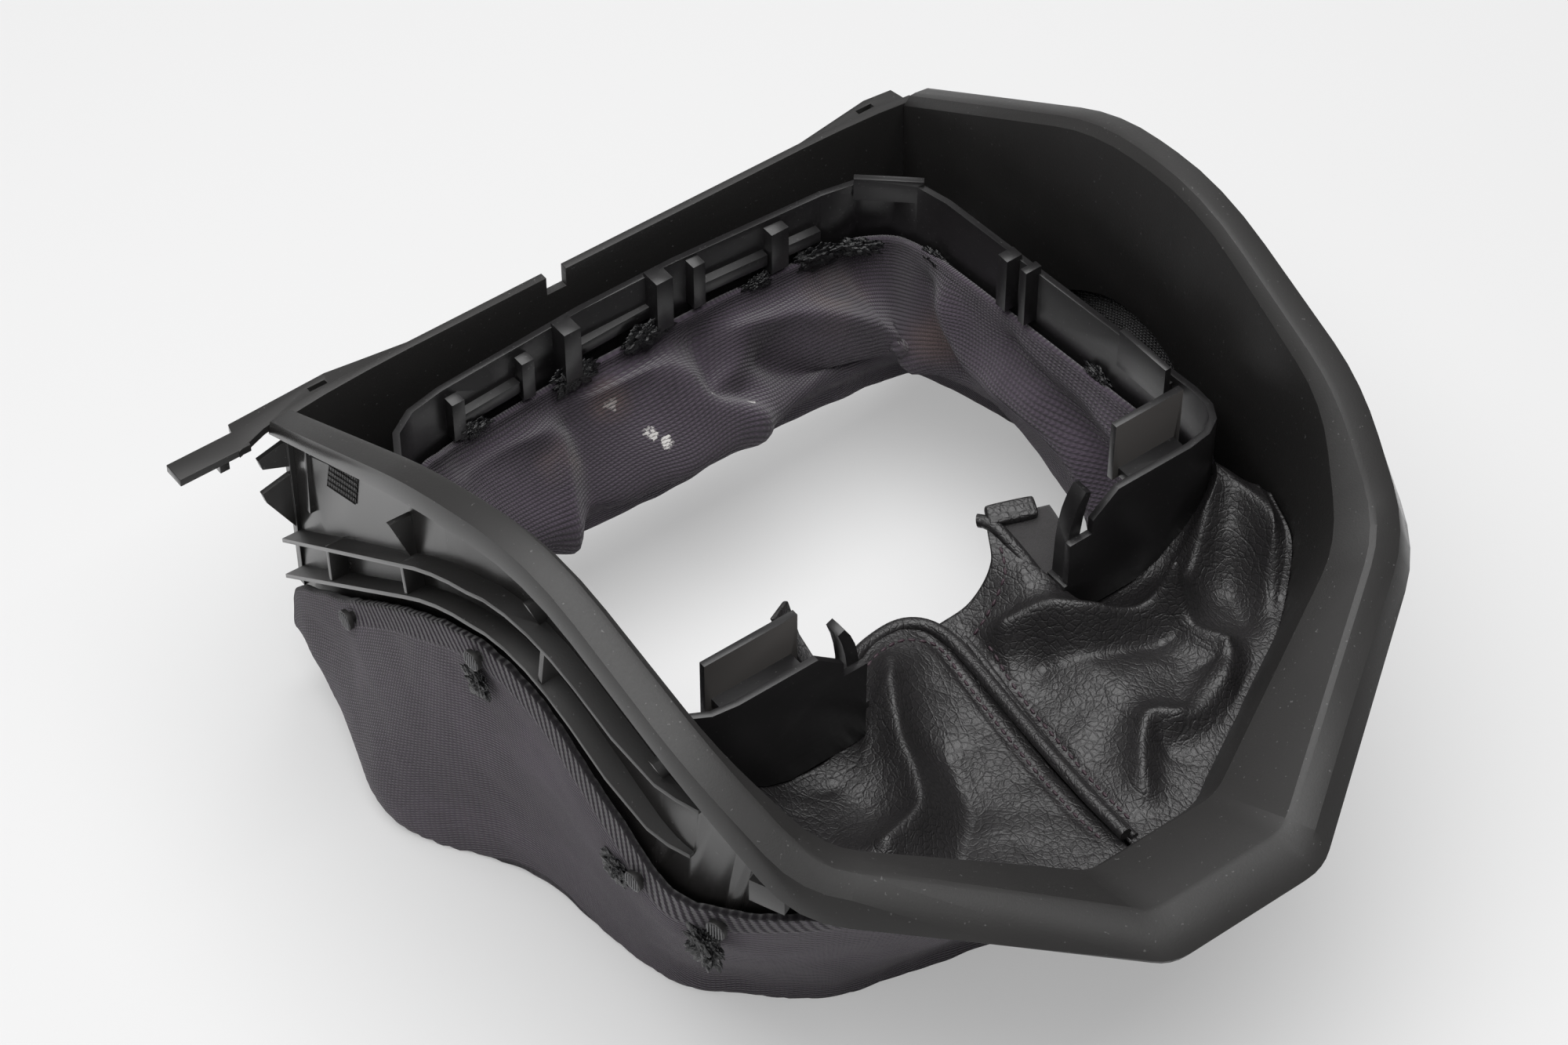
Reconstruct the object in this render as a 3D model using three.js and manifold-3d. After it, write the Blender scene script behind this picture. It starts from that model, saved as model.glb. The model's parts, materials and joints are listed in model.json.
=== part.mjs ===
// Steering column cover: a horseshoe surround with a rear cross panel, a thin collar that goes round the
// column, and the knitted and leather gaiter that closes the space between them.
// Millimetres. x runs across the column, y from the closed end towards the dashboard, z up.
// The model is drawn about the crest of the closed end and set on its base at the end.
import * as THREE from "three";
import { mergeVertices } from "three/addons/utils/BufferGeometryUtils.js";
import Module from "manifold-3d";

const wasm = await Module();
wasm.setup();

// Walls and clearances
const gap = 0.3;
const shellWall = 2.5;
const collarWall = 2;
const knitThickness = 2.4;
const leatherThickness = 1.6;

// Height of the closed end's crest above the surface that the gaiter rests on
const crestHeight = 88;

// The crest line of the surround, from the middle of the closed end to the tip of an arm
const closedEndHalf = 22;
const bendHalf = 92;
const bendDepth = 46;
const bendRise = 26;
const shoulderHalf = 101;
const shoulderDepth = 75;
const shoulderRise = 47;
const humpFrontHalf = 105;
const humpFrontDepth = 135;
const humpFrontRise = 70;
const humpRearHalf = 109;
const humpRearDepth = 180;
const humpRearRise = 61;
const tipHalf = 106;
const coverLength = 258;
const tipRise = 17;

// The rolled lip outside the crest and the sloped ledge inside it
const endLipReach = 12;
const endLipDrop = 6;
const armLipReach = 7.5;
const armLipDrop = 7.5;
const tipLipReach = 6.5;
const tipLipDrop = 5;
const endLedge = 24;
const endLedgeDrop = 9;
const armLedge = 3;

// The lower edge of the surround's wall, on its inner face
const endFootDepth = 35;
const endFootDrop = 27;
const bendFootInset = 12;
const bendFootDepth = 66;
const bendFootDrop = 22;
const armDraft = 3;
const shoulderFootDepth = 90;
const shoulderFootDrop = 37;
const frontFootDepth = 142;
const frontFootRise = 9;
const rearFootDepth = 172;
const rearFootRise = 6;
const tipFootDrop = 64;

// Stiffening on the outer side of each arm
const ribReach = 6;
const ribWall = 1.5;
const lowerRibShares = [0.6, 0.75];
const upperRibShares = [0.31, 0.56];
const webReach = 5.5;
const stakeRadius = 3;
const stakePinRadius = 1.6;
const stakeHead = 1.4;

// Rear cross panel
const panelRise = tipRise;
const panelDrop = 52;
const notchWidth = 6.5;
const notchDepth = 6.5;
const notchOffset = -18.5;
const flangeReach = 16;
const flangeDepth = 6;
const slotLength = 5.5;
const slotWidth = 1.6;
const tabLength = 22;
const tabWidth = 7;
const flangeWall = 2.5;

// Collar round the column
const flapEnd = 41;
const collarHalf = 91;
const collarFront = 99;
const collarRearGap = 5;
const collarBack = coverLength - collarRearGap;
const collarBow = 6;
const collarFrontRise = 22;
const collarBackRise = 8;
const collarDepth = 25;
const flapDepth = 41;
const collarFrontRound = 17;
const collarBackRound = 26;
const heldBand = 8;
const plateWall = 2;
const plateHeight = 12;
const plateSetback = 8;

const up = new THREE.Vector3(0, 0, 1);

function vec(x, y, z) {
  return new THREE.Vector3(x, y, z);
}

// Closed solid between two grids of points that face each other, front[i][j] and back[i][j]
function slab(front, back) {
  const rows = front.length;
  const cols = front[0].length;
  const points = [...front.flat(), ...back.flat()];
  const f = (i, j) => i * cols + j;
  const b = (i, j) => rows * cols + i * cols + j;
  const faces = [];
  const quad = (p, q, r, s) => faces.push(p, q, r, p, r, s);
  for (let i = 0; i < rows - 1; i++) {
    for (let j = 0; j < cols - 1; j++) {
      quad(f(i, j), f(i + 1, j), f(i + 1, j + 1), f(i, j + 1));
      quad(b(i, j), b(i, j + 1), b(i + 1, j + 1), b(i + 1, j));
    }
    quad(f(i, 0), b(i, 0), b(i + 1, 0), f(i + 1, 0));
    quad(f(i, cols - 1), f(i + 1, cols - 1), b(i + 1, cols - 1), b(i, cols - 1));
  }
  for (let j = 0; j < cols - 1; j++) {
    quad(f(0, j), f(0, j + 1), b(0, j + 1), b(0, j));
    quad(f(rows - 1, j), b(rows - 1, j), b(rows - 1, j + 1), f(rows - 1, j + 1));
  }
  const geometry = new THREE.BufferGeometry().setFromPoints(points);
  geometry.setIndex(faces);
  return geometry;
}

function toSolid(geometry) {
  const bare = geometry.clone();
  bare.deleteAttribute("normal");
  bare.deleteAttribute("uv");
  const merged = mergeVertices(bare, 1e-4);
  const solid = new wasm.Manifold(
    new wasm.Mesh({
      numProp: 3,
      vertProperties: merged.attributes.position.array,
      triVerts: new Uint32Array(merged.index.array),
    }),
  );
  return solid;
}

// A slab whose two sides may be handed in either order
function slabSolid(front, back) {
  const solid = toSolid(slab(front, back));
  return solid.volume() > 0 ? solid : toSolid(slab(back, front));
}

function toGeometry(solid) {
  const mesh = solid.getMesh();
  const geometry = new THREE.BufferGeometry();
  geometry.setAttribute("position", new THREE.BufferAttribute(mesh.vertProperties, 3));
  geometry.setIndex(new THREE.BufferAttribute(mesh.triVerts, 1));
  return geometry;
}

function block(width, depth, height, x, y, z, turn = 0) {
  const geometry = new THREE.BoxGeometry(width, depth, height);
  geometry.rotateZ(turn);
  geometry.translate(x, y, z);
  return toSolid(geometry);
}

function joined(solids) {
  return solids.reduce((whole, piece) => whole.add(piece));
}

function finish(roughness, color, metalness = 0) {
  return new THREE.MeshStandardMaterial({ color, roughness, metalness });
}

const grainedPlastic = finish(0.62, 0x1c1b1c);
const glossPlastic = finish(0.28, 0x121213);
const knitCloth = finish(0.95, 0x2a2630);
const leather = finish(0.55, 0x141414);
const feltCloth = finish(0.95, 0x3a3836);
const meltedPlastic = finish(0.2, 0x0d0d0e);

// Corners of a line, and how far each is rounded, turned into evenly numbered stations.
// Every line of the same part shares the stations, so sections run straight across.
function stationsFor(corners, rounds, steps) {
  const stations = [];
  for (let i = 0; i < corners.length - 1; i++) {
    const length = corners[i].distanceTo(corners[i + 1]);
    const from = rounds[i] / length;
    const to = 1 - rounds[i + 1] / length;
    for (let k = 0; k <= steps; k++) stations.push({ segment: i, t: from + ((to - from) * k) / steps });
    if (i + 2 < corners.length) {
      const next = corners[i + 1].distanceTo(corners[i + 2]);
      const bend = { corner: i + 1, back: rounds[i + 1] / length, fore: rounds[i + 1] / next };
      for (let k = 1; k < 4; k++) stations.push({ ...bend, v: k / 4 });
    }
  }
  return stations;
}

function pointAt(corners, station) {
  if (station.corner === undefined) {
    return corners[station.segment].clone().lerp(corners[station.segment + 1], station.t);
  }
  const middle = corners[station.corner];
  const start = middle.clone().lerp(corners[station.corner - 1], station.back);
  const end = middle.clone().lerp(corners[station.corner + 1], station.fore);
  return new THREE.QuadraticBezierCurve3(start, middle, end).getPoint(station.v);
}

// Horizontal normals of a line of points, on the right-hand side of its direction
function sideNormals(points) {
  return points.map((point, i) => {
    const along = points[Math.min(i + 1, points.length - 1)].clone().sub(points[Math.max(i - 1, 0)]);
    return along.setZ(0).normalize().cross(up);
  });
}

// Half of the rim as corner points, from the middle of the closed end to the tip
const crestCorners = [
  vec(0, 0, 0),
  vec(closedEndHalf, 0, 0),
  vec(bendHalf, bendDepth, bendRise),
  vec(shoulderHalf, shoulderDepth, shoulderRise),
  vec(humpFrontHalf, humpFrontDepth, humpFrontRise),
  vec(humpRearHalf, humpRearDepth, humpRearRise),
  vec(tipHalf, coverLength, tipRise),
];
const lipCorners = [
  vec(0, -endLipReach, -endLipDrop),
  vec(closedEndHalf + 2.5, -endLipReach, -endLipDrop),
  vec(bendHalf + 0.75 * endLipReach, bendDepth - 0.5 * endLipReach, bendRise - endLipDrop - 4),
  vec(shoulderHalf + armLipReach + 1, shoulderDepth - 2, shoulderRise - armLipDrop),
  vec(humpFrontHalf + armLipReach, humpFrontDepth, humpFrontRise - armLipDrop),
  vec(humpRearHalf + armLipReach, humpRearDepth, humpRearRise - armLipDrop),
  vec(tipHalf + tipLipReach, coverLength, tipRise - tipLipDrop),
];
const ledgeCorners = [
  vec(0, endLedge, -endLedgeDrop),
  vec(closedEndHalf - 1.5, endLedge, -endLedgeDrop),
  vec(bendHalf - 0.35 * endLedge, bendDepth + 0.25 * endLedge, bendRise - 0.7 * endLedgeDrop),
  vec(shoulderHalf - 1.3 * armLedge, shoulderDepth + 1, shoulderRise - 1.3 * armLedge),
  vec(humpFrontHalf - armLedge, humpFrontDepth, humpFrontRise - armLedge),
  vec(humpRearHalf - armLedge, humpRearDepth, humpRearRise - armLedge),
  vec(tipHalf - armLedge, coverLength, tipRise - armLedge),
];
const footCorners = [
  vec(0, endFootDepth, -endFootDrop),
  vec(closedEndHalf, endFootDepth, -endFootDrop),
  vec(bendHalf - bendFootInset, bendFootDepth, -bendFootDrop),
  vec(shoulderHalf - armDraft, shoulderFootDepth, -shoulderFootDrop),
  vec(humpFrontHalf - 0.5 * armDraft, frontFootDepth, frontFootRise),
  vec(humpRearHalf - armDraft, rearFootDepth, rearFootRise),
  vec(tipHalf - 0.5 * armDraft, coverLength, -tipFootDrop),
];
const rimRounds = [0, 5, 12, 13, 20, 18, 0];
const halfStations = stationsFor(crestCorners, rimRounds, 2);

// Sections of the right half of the rim: the visible side and the hidden side, foot to lip
function rimSections() {
  const crest = halfStations.map((s) => pointAt(crestCorners, s));
  const lip = halfStations.map((s) => pointAt(lipCorners, s));
  const ledge = halfStations.map((s) => pointAt(ledgeCorners, s));
  const foot = halfStations.map((s) => pointAt(footCorners, s));
  const normals = sideNormals(crest);
  return crest.map((top, i) => {
    const out = normals[i];
    const place = (base, across, rise) => base.clone().addScaledVector(out, across).setZ(base.z + rise);
    const fall = lip[i].clone().sub(top);
    const reach = fall.dot(out);
    const steep = Math.hypot(reach, fall.z);
    const onArm = THREE.MathUtils.smoothstep(top.y, 20, 90);
    const across = THREE.MathUtils.lerp(0.6, 0.86, onArm);
    const shoulder = top.clone().lerp(lip[i], across);
    shoulder.z = top.z + THREE.MathUtils.lerp(0.38, 0.16, onArm) * fall.z;
    const inset = (shellWall * fall.z) / steep;
    const sink = (-shellWall * reach) / steep;
    return {
      out,
      outerFoot: place(foot[i], shellWall, 0),
      outerLedge: place(ledge[i], 0.95 * shellWall, -1.2 * shellWall),
      shown: [foot[i], ledge[i], place(top, -0.9, -0.25), place(top, 0.9, -0.2), shoulder, lip[i]],
      hidden: [
        place(foot[i], shellWall, 0),
        place(ledge[i], 0.95 * shellWall, -1.2 * shellWall),
        place(top, -0.3, -1.6 * shellWall),
        place(top, 0.3, -1.5 * shellWall),
        place(shoulder, inset, sink - 0.4),
        place(lip[i], inset, sink),
      ],
    };
  });
}

const rimHalf = rimSections();

function mirrored(point) {
  return vec(-point.x, point.y, point.z);
}

function rimGrid(side) {
  const right = rimHalf.map((section) => section[side]);
  return [...right.slice(1).map((row) => row.map(mirrored)).reverse(), ...right];
}

// Stations of the rim on both sides of a place that may lie between two, and the share between them
function rimAround(place) {
  const low = Math.floor(place);
  return [rimHalf[low], rimHalf[Math.min(low + 1, rimHalf.length - 1)], place - low];
}

// Point of the right arm's outer wall: place along the rim, share of the wall's height from its ledge
// down, and distance outwards
function onOuterWall(place, share, reach = 0) {
  const [from, to, between] = rimAround(place);
  const at = (station) => {
    const point = station.outerLedge.clone().lerp(station.outerFoot, share);
    return point.addScaledVector(station.out, reach);
  };
  return at(from).lerp(at(to), between);
}

function outwards(place) {
  const [from, to, between] = rimAround(place);
  return from.out.clone().lerp(to.out, between).normalize();
}

const clipStation = 11.5;
const clipBlockReach = 7;
const ribFirst = 16;
const ribLast = rimHalf.length - 1;

// How far down the wall a long rib lies at a station: it sinks from its first share to its last
function ribShare([front, rear], index) {
  return THREE.MathUtils.lerp(front, rear, (index - ribFirst) / (ribLast - ribFirst));
}

// A rib that runs along the outer wall of one arm
function longRib(shares, side) {
  const lower = [];
  const upper = [];
  for (let i = ribFirst; i <= ribLast; i++) {
    const share = ribShare(shares, i);
    const taper = Math.min(1, 0.25 + 0.25 * (i - ribFirst));
    const line = [onOuterWall(i, share, -0.8), onOuterWall(i, share, ribReach * taper)];
    const placed = side < 0 ? line.map(mirrored) : line;
    lower.push(placed);
    upper.push(placed.map((p) => p.clone().setZ(p.z + ribWall)));
  }
  return slabSolid(lower, upper);
}

// An upright web between two heights on the outer wall, square to it
function web(index, from, to, reachTop, reachBottom, side) {
  const top = [onOuterWall(index, from, -0.8), onOuterWall(index, from, reachTop)];
  const bottom = [onOuterWall(index, to, -0.8), onOuterWall(index, to, reachBottom)];
  const along = up.clone().cross(outwards(index)).multiplyScalar(ribWall);
  const near = [top, bottom].map((row) => (side < 0 ? row.map(mirrored) : row));
  const shift = side < 0 ? mirrored(along) : along;
  return slabSolid(near, near.map((row) => row.map((p) => p.clone().add(shift))));
}

// Cross webs between the two long ribs, and fins that stand on the upper one
function ribWebs(side) {
  const bay = (index) => {
    const top = ribShare(upperRibShares, index) - 0.01;
    return web(index, top, ribShare(lowerRibShares, index), webReach, webReach, side);
  };
  const fin = (index, height) => {
    const foot = ribShare(upperRibShares, index) - 0.005;
    return web(index, foot - height, foot, webReach + 1, 1.5, side);
  };
  const upright = web(ribLast - 0.3, 0.02, 0.42, 1, 1.6, side);
  return [bay(21.3), bay(29.8), bay(31.2), fin(18, 0.16), fin(22, 0.22), fin(30, 0.26), upright];
}

// The cloth's outer face lies this far out from the surround's wall
const hemReach = gap + knitThickness + 1.1;

// Stations of the rim that carry stakes, webs and rib ends, counted from the closed end
const stakeStations = [13.5, 18, 26, 31];
const stakeShare = 0.93;

function stake(index, side) {
  const root = onOuterWall(index, stakeShare, -0.8);
  const out = outwards(index);
  const length = 0.8 + hemReach + 5 * gap + stakeHead;
  const pin = new THREE.CylinderGeometry(stakePinRadius, stakePinRadius, length, 10);
  const head = new THREE.CylinderGeometry(stakeRadius, stakeRadius, stakeHead, 14);
  head.translate(0, length / 2 - stakeHead / 2, 0);
  const pieces = [pin, head].map((piece) => {
    piece.translate(0, length / 2, 0);
    piece.rotateZ(-Math.PI / 2);
    piece.rotateZ(Math.atan2(out.y, out.x));
    piece.translate(root.x, root.y, root.z);
    if (side < 0) piece.applyMatrix4(new THREE.Matrix4().makeScale(-1, 1, 1));
    return piece;
  });
  return pieces.map((piece) => {
    const bare = piece.clone();
    if (side < 0) bare.setIndex([...bare.index.array].reverse());
    return toSolid(bare);
  });
}

// The hole that a stake's pin needs through the cloth
function stakeHole(index, side) {
  const root = onOuterWall(index, stakeShare, 0.5 * shellWall);
  const out = outwards(index);
  const drill = new THREE.CylinderGeometry(stakePinRadius + gap, stakePinRadius + gap, 16, 10);
  drill.rotateZ(-Math.PI / 2);
  drill.rotateZ(Math.atan2(out.y, side * out.x));
  drill.translate(side * root.x, root.y, root.z);
  return toSolid(drill);
}

// Clip block on the outer wall beside the closed end
function clipBlock(side) {
  const out = outwards(clipStation);
  const at = onOuterWall(clipStation, 0.5, clipBlockReach / 2 - 0.5);
  return block(clipBlockReach, 10, 8, side * at.x, at.y, at.z, side * Math.atan2(out.y, out.x));
}

function surround() {
  const pieces = [slabSolid(rimGrid("shown"), rimGrid("hidden"))];
  for (const side of [-1, 1]) {
    pieces.push(longRib(lowerRibShares, side), longRib(upperRibShares, side), ...ribWebs(side));
    pieces.push(clipBlock(side));
    for (const index of stakeStations) pieces.push(...stake(index, side));
  }
  return joined(pieces);
}

// Rear cross panel, behind the ends of the arms
const panelFront = coverLength + gap;

function rearPanel() {
  const columns = 17;
  const half = tipHalf + 1.2;
  const rows = [];
  for (let i = 0; i < columns; i++) {
    const x = half * ((2 * i) / (columns - 1) - 1);
    const top = panelRise - 3 * (Math.abs(x) / half) ** 6;
    rows.push([vec(x, panelFront, -panelDrop), vec(x, panelFront, top)]);
  }
  const rearSide = rows.map((row) => row.map((p) => p.clone().setY(p.y + shellWall)));
  const notch = block(notchWidth, 30, 2 * notchDepth, notchOffset, panelFront, panelRise);
  const flangeZ = panelRise - 3 - flangeWall / 2;
  const back = panelFront + shellWall;
  const leftFlange = [
    [-(half - 62), back - 0.5],
    [-(half - 18), back + flangeDepth],
    [-(half + flangeReach - 3), back + flangeDepth - 1],
    [-(half + flangeReach), panelFront - 3],
    [-(half + 6), panelFront + 0.5],
    [-(half - 4), back - 0.5],
  ];
  const rightFlange = [
    [half - 60, back - 0.5],
    [half - 12, back + flangeDepth],
    [half - 3, back + flangeDepth - 1],
    [half - 2, back - 0.5],
  ];
  const flange = (corners, side) => {
    const outline = new THREE.Shape(corners.map(([x, y]) => new THREE.Vector2(x, y)));
    const settings = { depth: flangeWall, bevelEnabled: false, curveSegments: 4 };
    const plate = new THREE.ExtrudeGeometry(outline, settings);
    plate.translate(0, 0, flangeZ - flangeWall / 2);
    const slotY = back + 0.5 * flangeDepth;
    const slot = block(slotLength, slotWidth, 4 * flangeWall, side * (half - 14), slotY, flangeZ);
    return toSolid(plate).subtract(slot);
  };
  const tabX = -(half + flangeReach + tabLength / 2 - 4);
  const tab = block(tabLength, tabWidth, flangeWall, tabX, panelFront + 1, flangeZ);
  const nub = block(3, 3, 4, tabX + 3, panelFront, flangeZ - 3);
  const fin = (side, top, drop) => {
    const outline = [[half - 3, top], [half + 9, top - 3], [half + 8, top - 7], [half - 3, top - drop]];
    const shape = new THREE.Shape(outline.map(([x, z]) => new THREE.Vector2(side * x, z)));
    const plate = new THREE.ExtrudeGeometry(shape, { depth: 1.6, bevelEnabled: false });
    plate.rotateX(Math.PI / 2);
    plate.translate(0, panelFront + 2.1, 0);
    return toSolid(plate);
  };
  const fins = [-1, 1].flatMap((side) => [fin(side, 6, 12), fin(side, -7, 27)]);
  const panel = slabSolid(rows, rearSide).subtract(notch);
  return joined([panel, ...fins, flange(leftFlange, -1), flange(rightFlange, 1), tab, nub]);
}

// Plan of the collar's half, from the end of a flap round to the middle of the back
const collarCorners = [
  vec(flapEnd, collarFront, 0),
  vec(collarHalf, collarFront, 0),
  vec(collarHalf, collarBack - collarBow, 0),
  vec(0, collarBack, 0),
];
const collarRounds = [0, collarFrontRound, collarBackRound, 0];
const collarStations = stationsFor(collarCorners, collarRounds, 4).slice(0, -1);
const collarLine = collarStations.map((s) => pointAt(collarCorners, s));
const collarIn = sideNormals(collarLine).map((n) => n.negate());

function collarTop(y) {
  const share = (y - collarFront) / (collarBack - collarFront);
  return THREE.MathUtils.lerp(collarFrontRise, collarBackRise, share);
}

// How deep the collar's wall is: deeper on the two front flaps
function collarWallDepth(point) {
  const share = THREE.MathUtils.smoothstep(collarHalf - point.x, 4, 34);
  const isFront = 1 - THREE.MathUtils.smoothstep(point.y, collarFront + 4, collarFront + 22);
  return collarDepth + (flapDepth - collarDepth) * share * isFront;
}

function collarRow(point, inward, away) {
  const top = collarTop(point.y);
  const endDrop = 7 * Math.max(0, 1 - (point.x - flapEnd) / 5) ** 2 * (point.y < collarFront + 1 ? 1 : 0);
  const at = (z) => point.clone().addScaledVector(inward, away).setZ(z);
  return [at(top - collarWallDepth(point)), at(top - endDrop)];
}

function mirrorRow(row) {
  return row.map(mirrored);
}

function collarRing() {
  const outer = collarLine.map((p, i) => collarRow(p, collarIn[i], 0));
  const inner = collarLine.map((p, i) => collarRow(p, collarIn[i], collarWall));
  const whole = (rows) => [...rows, ...rows.map(mirrorRow).reverse()];
  return slabSolid(whole(outer), whole(inner));
}

// Upright posts inside the back wall: place across the collar, width, depth and rise over the wall's edge
const posts = [
  [-62, 4, 4, -3],
  [-38, 4, 4, -3],
  [-24, 5.5, 6.5, 1.5],
  [8, 5.5, 6.5, 1.5],
  [21, 4, 4, -1],
  [48, 6, 4, -2],
];

function collarBackY(x) {
  return collarBack - collarBow * (Math.abs(x) / collarHalf) - 0.4;
}

function backPost([x, width, depth, rise]) {
  const y = collarBackY(x) - collarWall - depth / 2 + 0.6;
  const top = collarTop(collarBack) + rise;
  const bottom = collarTop(collarBack) - collarDepth + heldBand;
  return block(width, depth, top - bottom, x, y, (top + bottom) / 2);
}

// Ledges between the posts, a third of the way down the wall
const ledgeSpans = [
  [-59, -41],
  [-20, 5],
  [24, 44],
  [52, 62],
];

function backLedge([from, to]) {
  const middle = (from + to) / 2;
  const turn = Math.atan2(collarBackY(to) - collarBackY(from), to - from);
  const y = collarBackY(middle) - collarWall - 0.9;
  return block(to - from + 1, 3, 4, middle, y, collarTop(collarBack) - 12, turn);
}

// Plates that stand inside the flaps and the right-hand wall, each on a short shelf
function flapPlate(side, width, rise) {
  const x = side * (collarHalf - 13 - width / 2);
  const y = collarFront + collarWall + plateSetback;
  const top = collarFrontRise + rise;
  const plate = block(width, plateWall, plateHeight + 8, x, y, top - (plateHeight + 8) / 2);
  const shelf = block(width - 4, plateSetback + 1, 3, x, y - plateSetback / 2, collarFrontRise - 6);
  return [plate, shelf];
}

function sidePlate() {
  const x = collarHalf - collarWall - plateSetback + 4;
  const y = collarFront + 32;
  const z = collarTop(y) + 1;
  const plate = block(plateWall, 19, 13, x, y, z);
  const shelf = block(plateSetback - 3, 15, 3, x + 2, y, z - 4);
  return [plate, shelf];
}

// Hooked blade that stands on the ledge at the end of each flap
function prong(side) {
  const foot = collarFrontRise - flapDepth + 12;
  const tip = collarFrontRise + 3;
  const outline = new THREE.Shape();
  outline.moveTo(flapEnd - 7, foot);
  outline.lineTo(flapEnd - 6.6, foot + 14);
  outline.quadraticCurveTo(flapEnd - 6, tip - 6, flapEnd - 1.5, tip);
  outline.lineTo(flapEnd + 0.5, tip - 1);
  outline.quadraticCurveTo(flapEnd - 2.6, tip - 9, flapEnd - 2.8, foot + 12);
  outline.lineTo(flapEnd - 2.8, foot);
  const blade = new THREE.ExtrudeGeometry(outline, { depth: 5, bevelEnabled: false, curveSegments: 4 });
  blade.rotateX(Math.PI / 2);
  blade.translate(0, collarFront + collarWall + 5, 0);
  if (side < 0) {
    blade.applyMatrix4(new THREE.Matrix4().makeScale(-1, 1, 1));
    blade.setAttribute("position", reversedTriangles(blade));
  }
  const ledge = block(11, collarWall + 5, 2.5, side * (flapEnd - 3), collarFront + 3.5, foot + 0.5);
  return [toSolid(blade), ledge];
}

// Corner order of each triangle turned round, which a mirrored shape needs
function reversedTriangles(geometry) {
  const old = geometry.getAttribute("position");
  const turned = new THREE.BufferAttribute(new Float32Array(old.count * 3), 3);
  for (let i = 0; i < old.count; i += 3) {
    [i, i + 2, i + 1].forEach((from, k) => {
      turned.setXYZ(i + k, old.getX(from), old.getY(from), old.getZ(from));
    });
  }
  return turned;
}

// The lower outer end of a flap, below the prong's ledge
function flapToe(side) {
  const height = flapDepth - 12;
  const z = collarFrontRise - flapDepth + height / 2;
  return block(8, collarWall, height, side * (flapEnd - 3.5), collarFront + collarWall / 2, z);
}

function raisedTab() {
  const x = collarHalf - 9;
  const y = collarBack - 15;
  return block(20, collarWall, 8, x, y, collarTop(y) - 1.5, -0.72);
}

function sidePost(side, y, width, rise) {
  const top = collarTop(y) + rise;
  const bottom = collarTop(y) - collarDepth + heldBand;
  const x = side * (collarHalf - collarWall - 2);
  return block(5.4, width, top - bottom, x, y, (top + bottom) / 2);
}

function collarFrame() {
  const pieces = [collarRing(), ...posts.map(backPost), ...ledgeSpans.map(backLedge), raisedTab()];
  for (const side of [-1, 1]) {
    pieces.push(...prong(side), flapToe(side));
    pieces.push(sidePost(side, 190, 4, 2), sidePost(side, 181, 2.5, 3));
  }
  pieces.push(...flapPlate(-1, 29, 9), ...flapPlate(1, 23, 12), ...sidePlate());
  return joined(pieces);
}

// Smooth line through a few points, as an even row
function smoothRow(points, count) {
  return new THREE.CatmullRomCurve3(points, false, "centripetal").getPoints(count - 1);
}

// Point under the collar's wall: 0 at the end of a flap, 1 at the middle of the back, and below nought
// for the open middle of the front, where it drops under the leather
function collarPoint(share, side, inset) {
  if (share < 0) {
    const drop = 12 * THREE.MathUtils.smoothstep(-share, 0, 0.25);
    return vec(side * flapEnd * (1 + share), collarFront + inset, collarFrontRise - flapDepth - drop);
  }
  const place = share * (collarLine.length - 1);
  const i = Math.min(Math.floor(place), collarLine.length - 2);
  const point = collarLine[i].clone().lerp(collarLine[i + 1], place - i);
  const inward = collarIn[i].clone().lerp(collarIn[i + 1], place - i).normalize();
  point.addScaledVector(inward, inset);
  const bottom = collarTop(point.y) - collarWallDepth(point);
  return vec(side * point.x, point.y, bottom);
}

// Point on the wall of the surround: station of the rim, share of the wall's height, distance outwards
function wallPoint(index, share, reach, side) {
  const point = onOuterWall(index, share, reach);
  return vec(side * point.x, point.y, point.z);
}

const hemShare = 0.84;
const base = -crestHeight;

// The hem's place at the back: short of the arms' ends, and past them round the corners
const rearHemInset = 0.2;
const cornerHemReach = 4;

// Point of the loop by its distance forward of the arms' ends
function fromRear(x, inset, z) {
  return [x, coverLength - inset, z];
}

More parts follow.
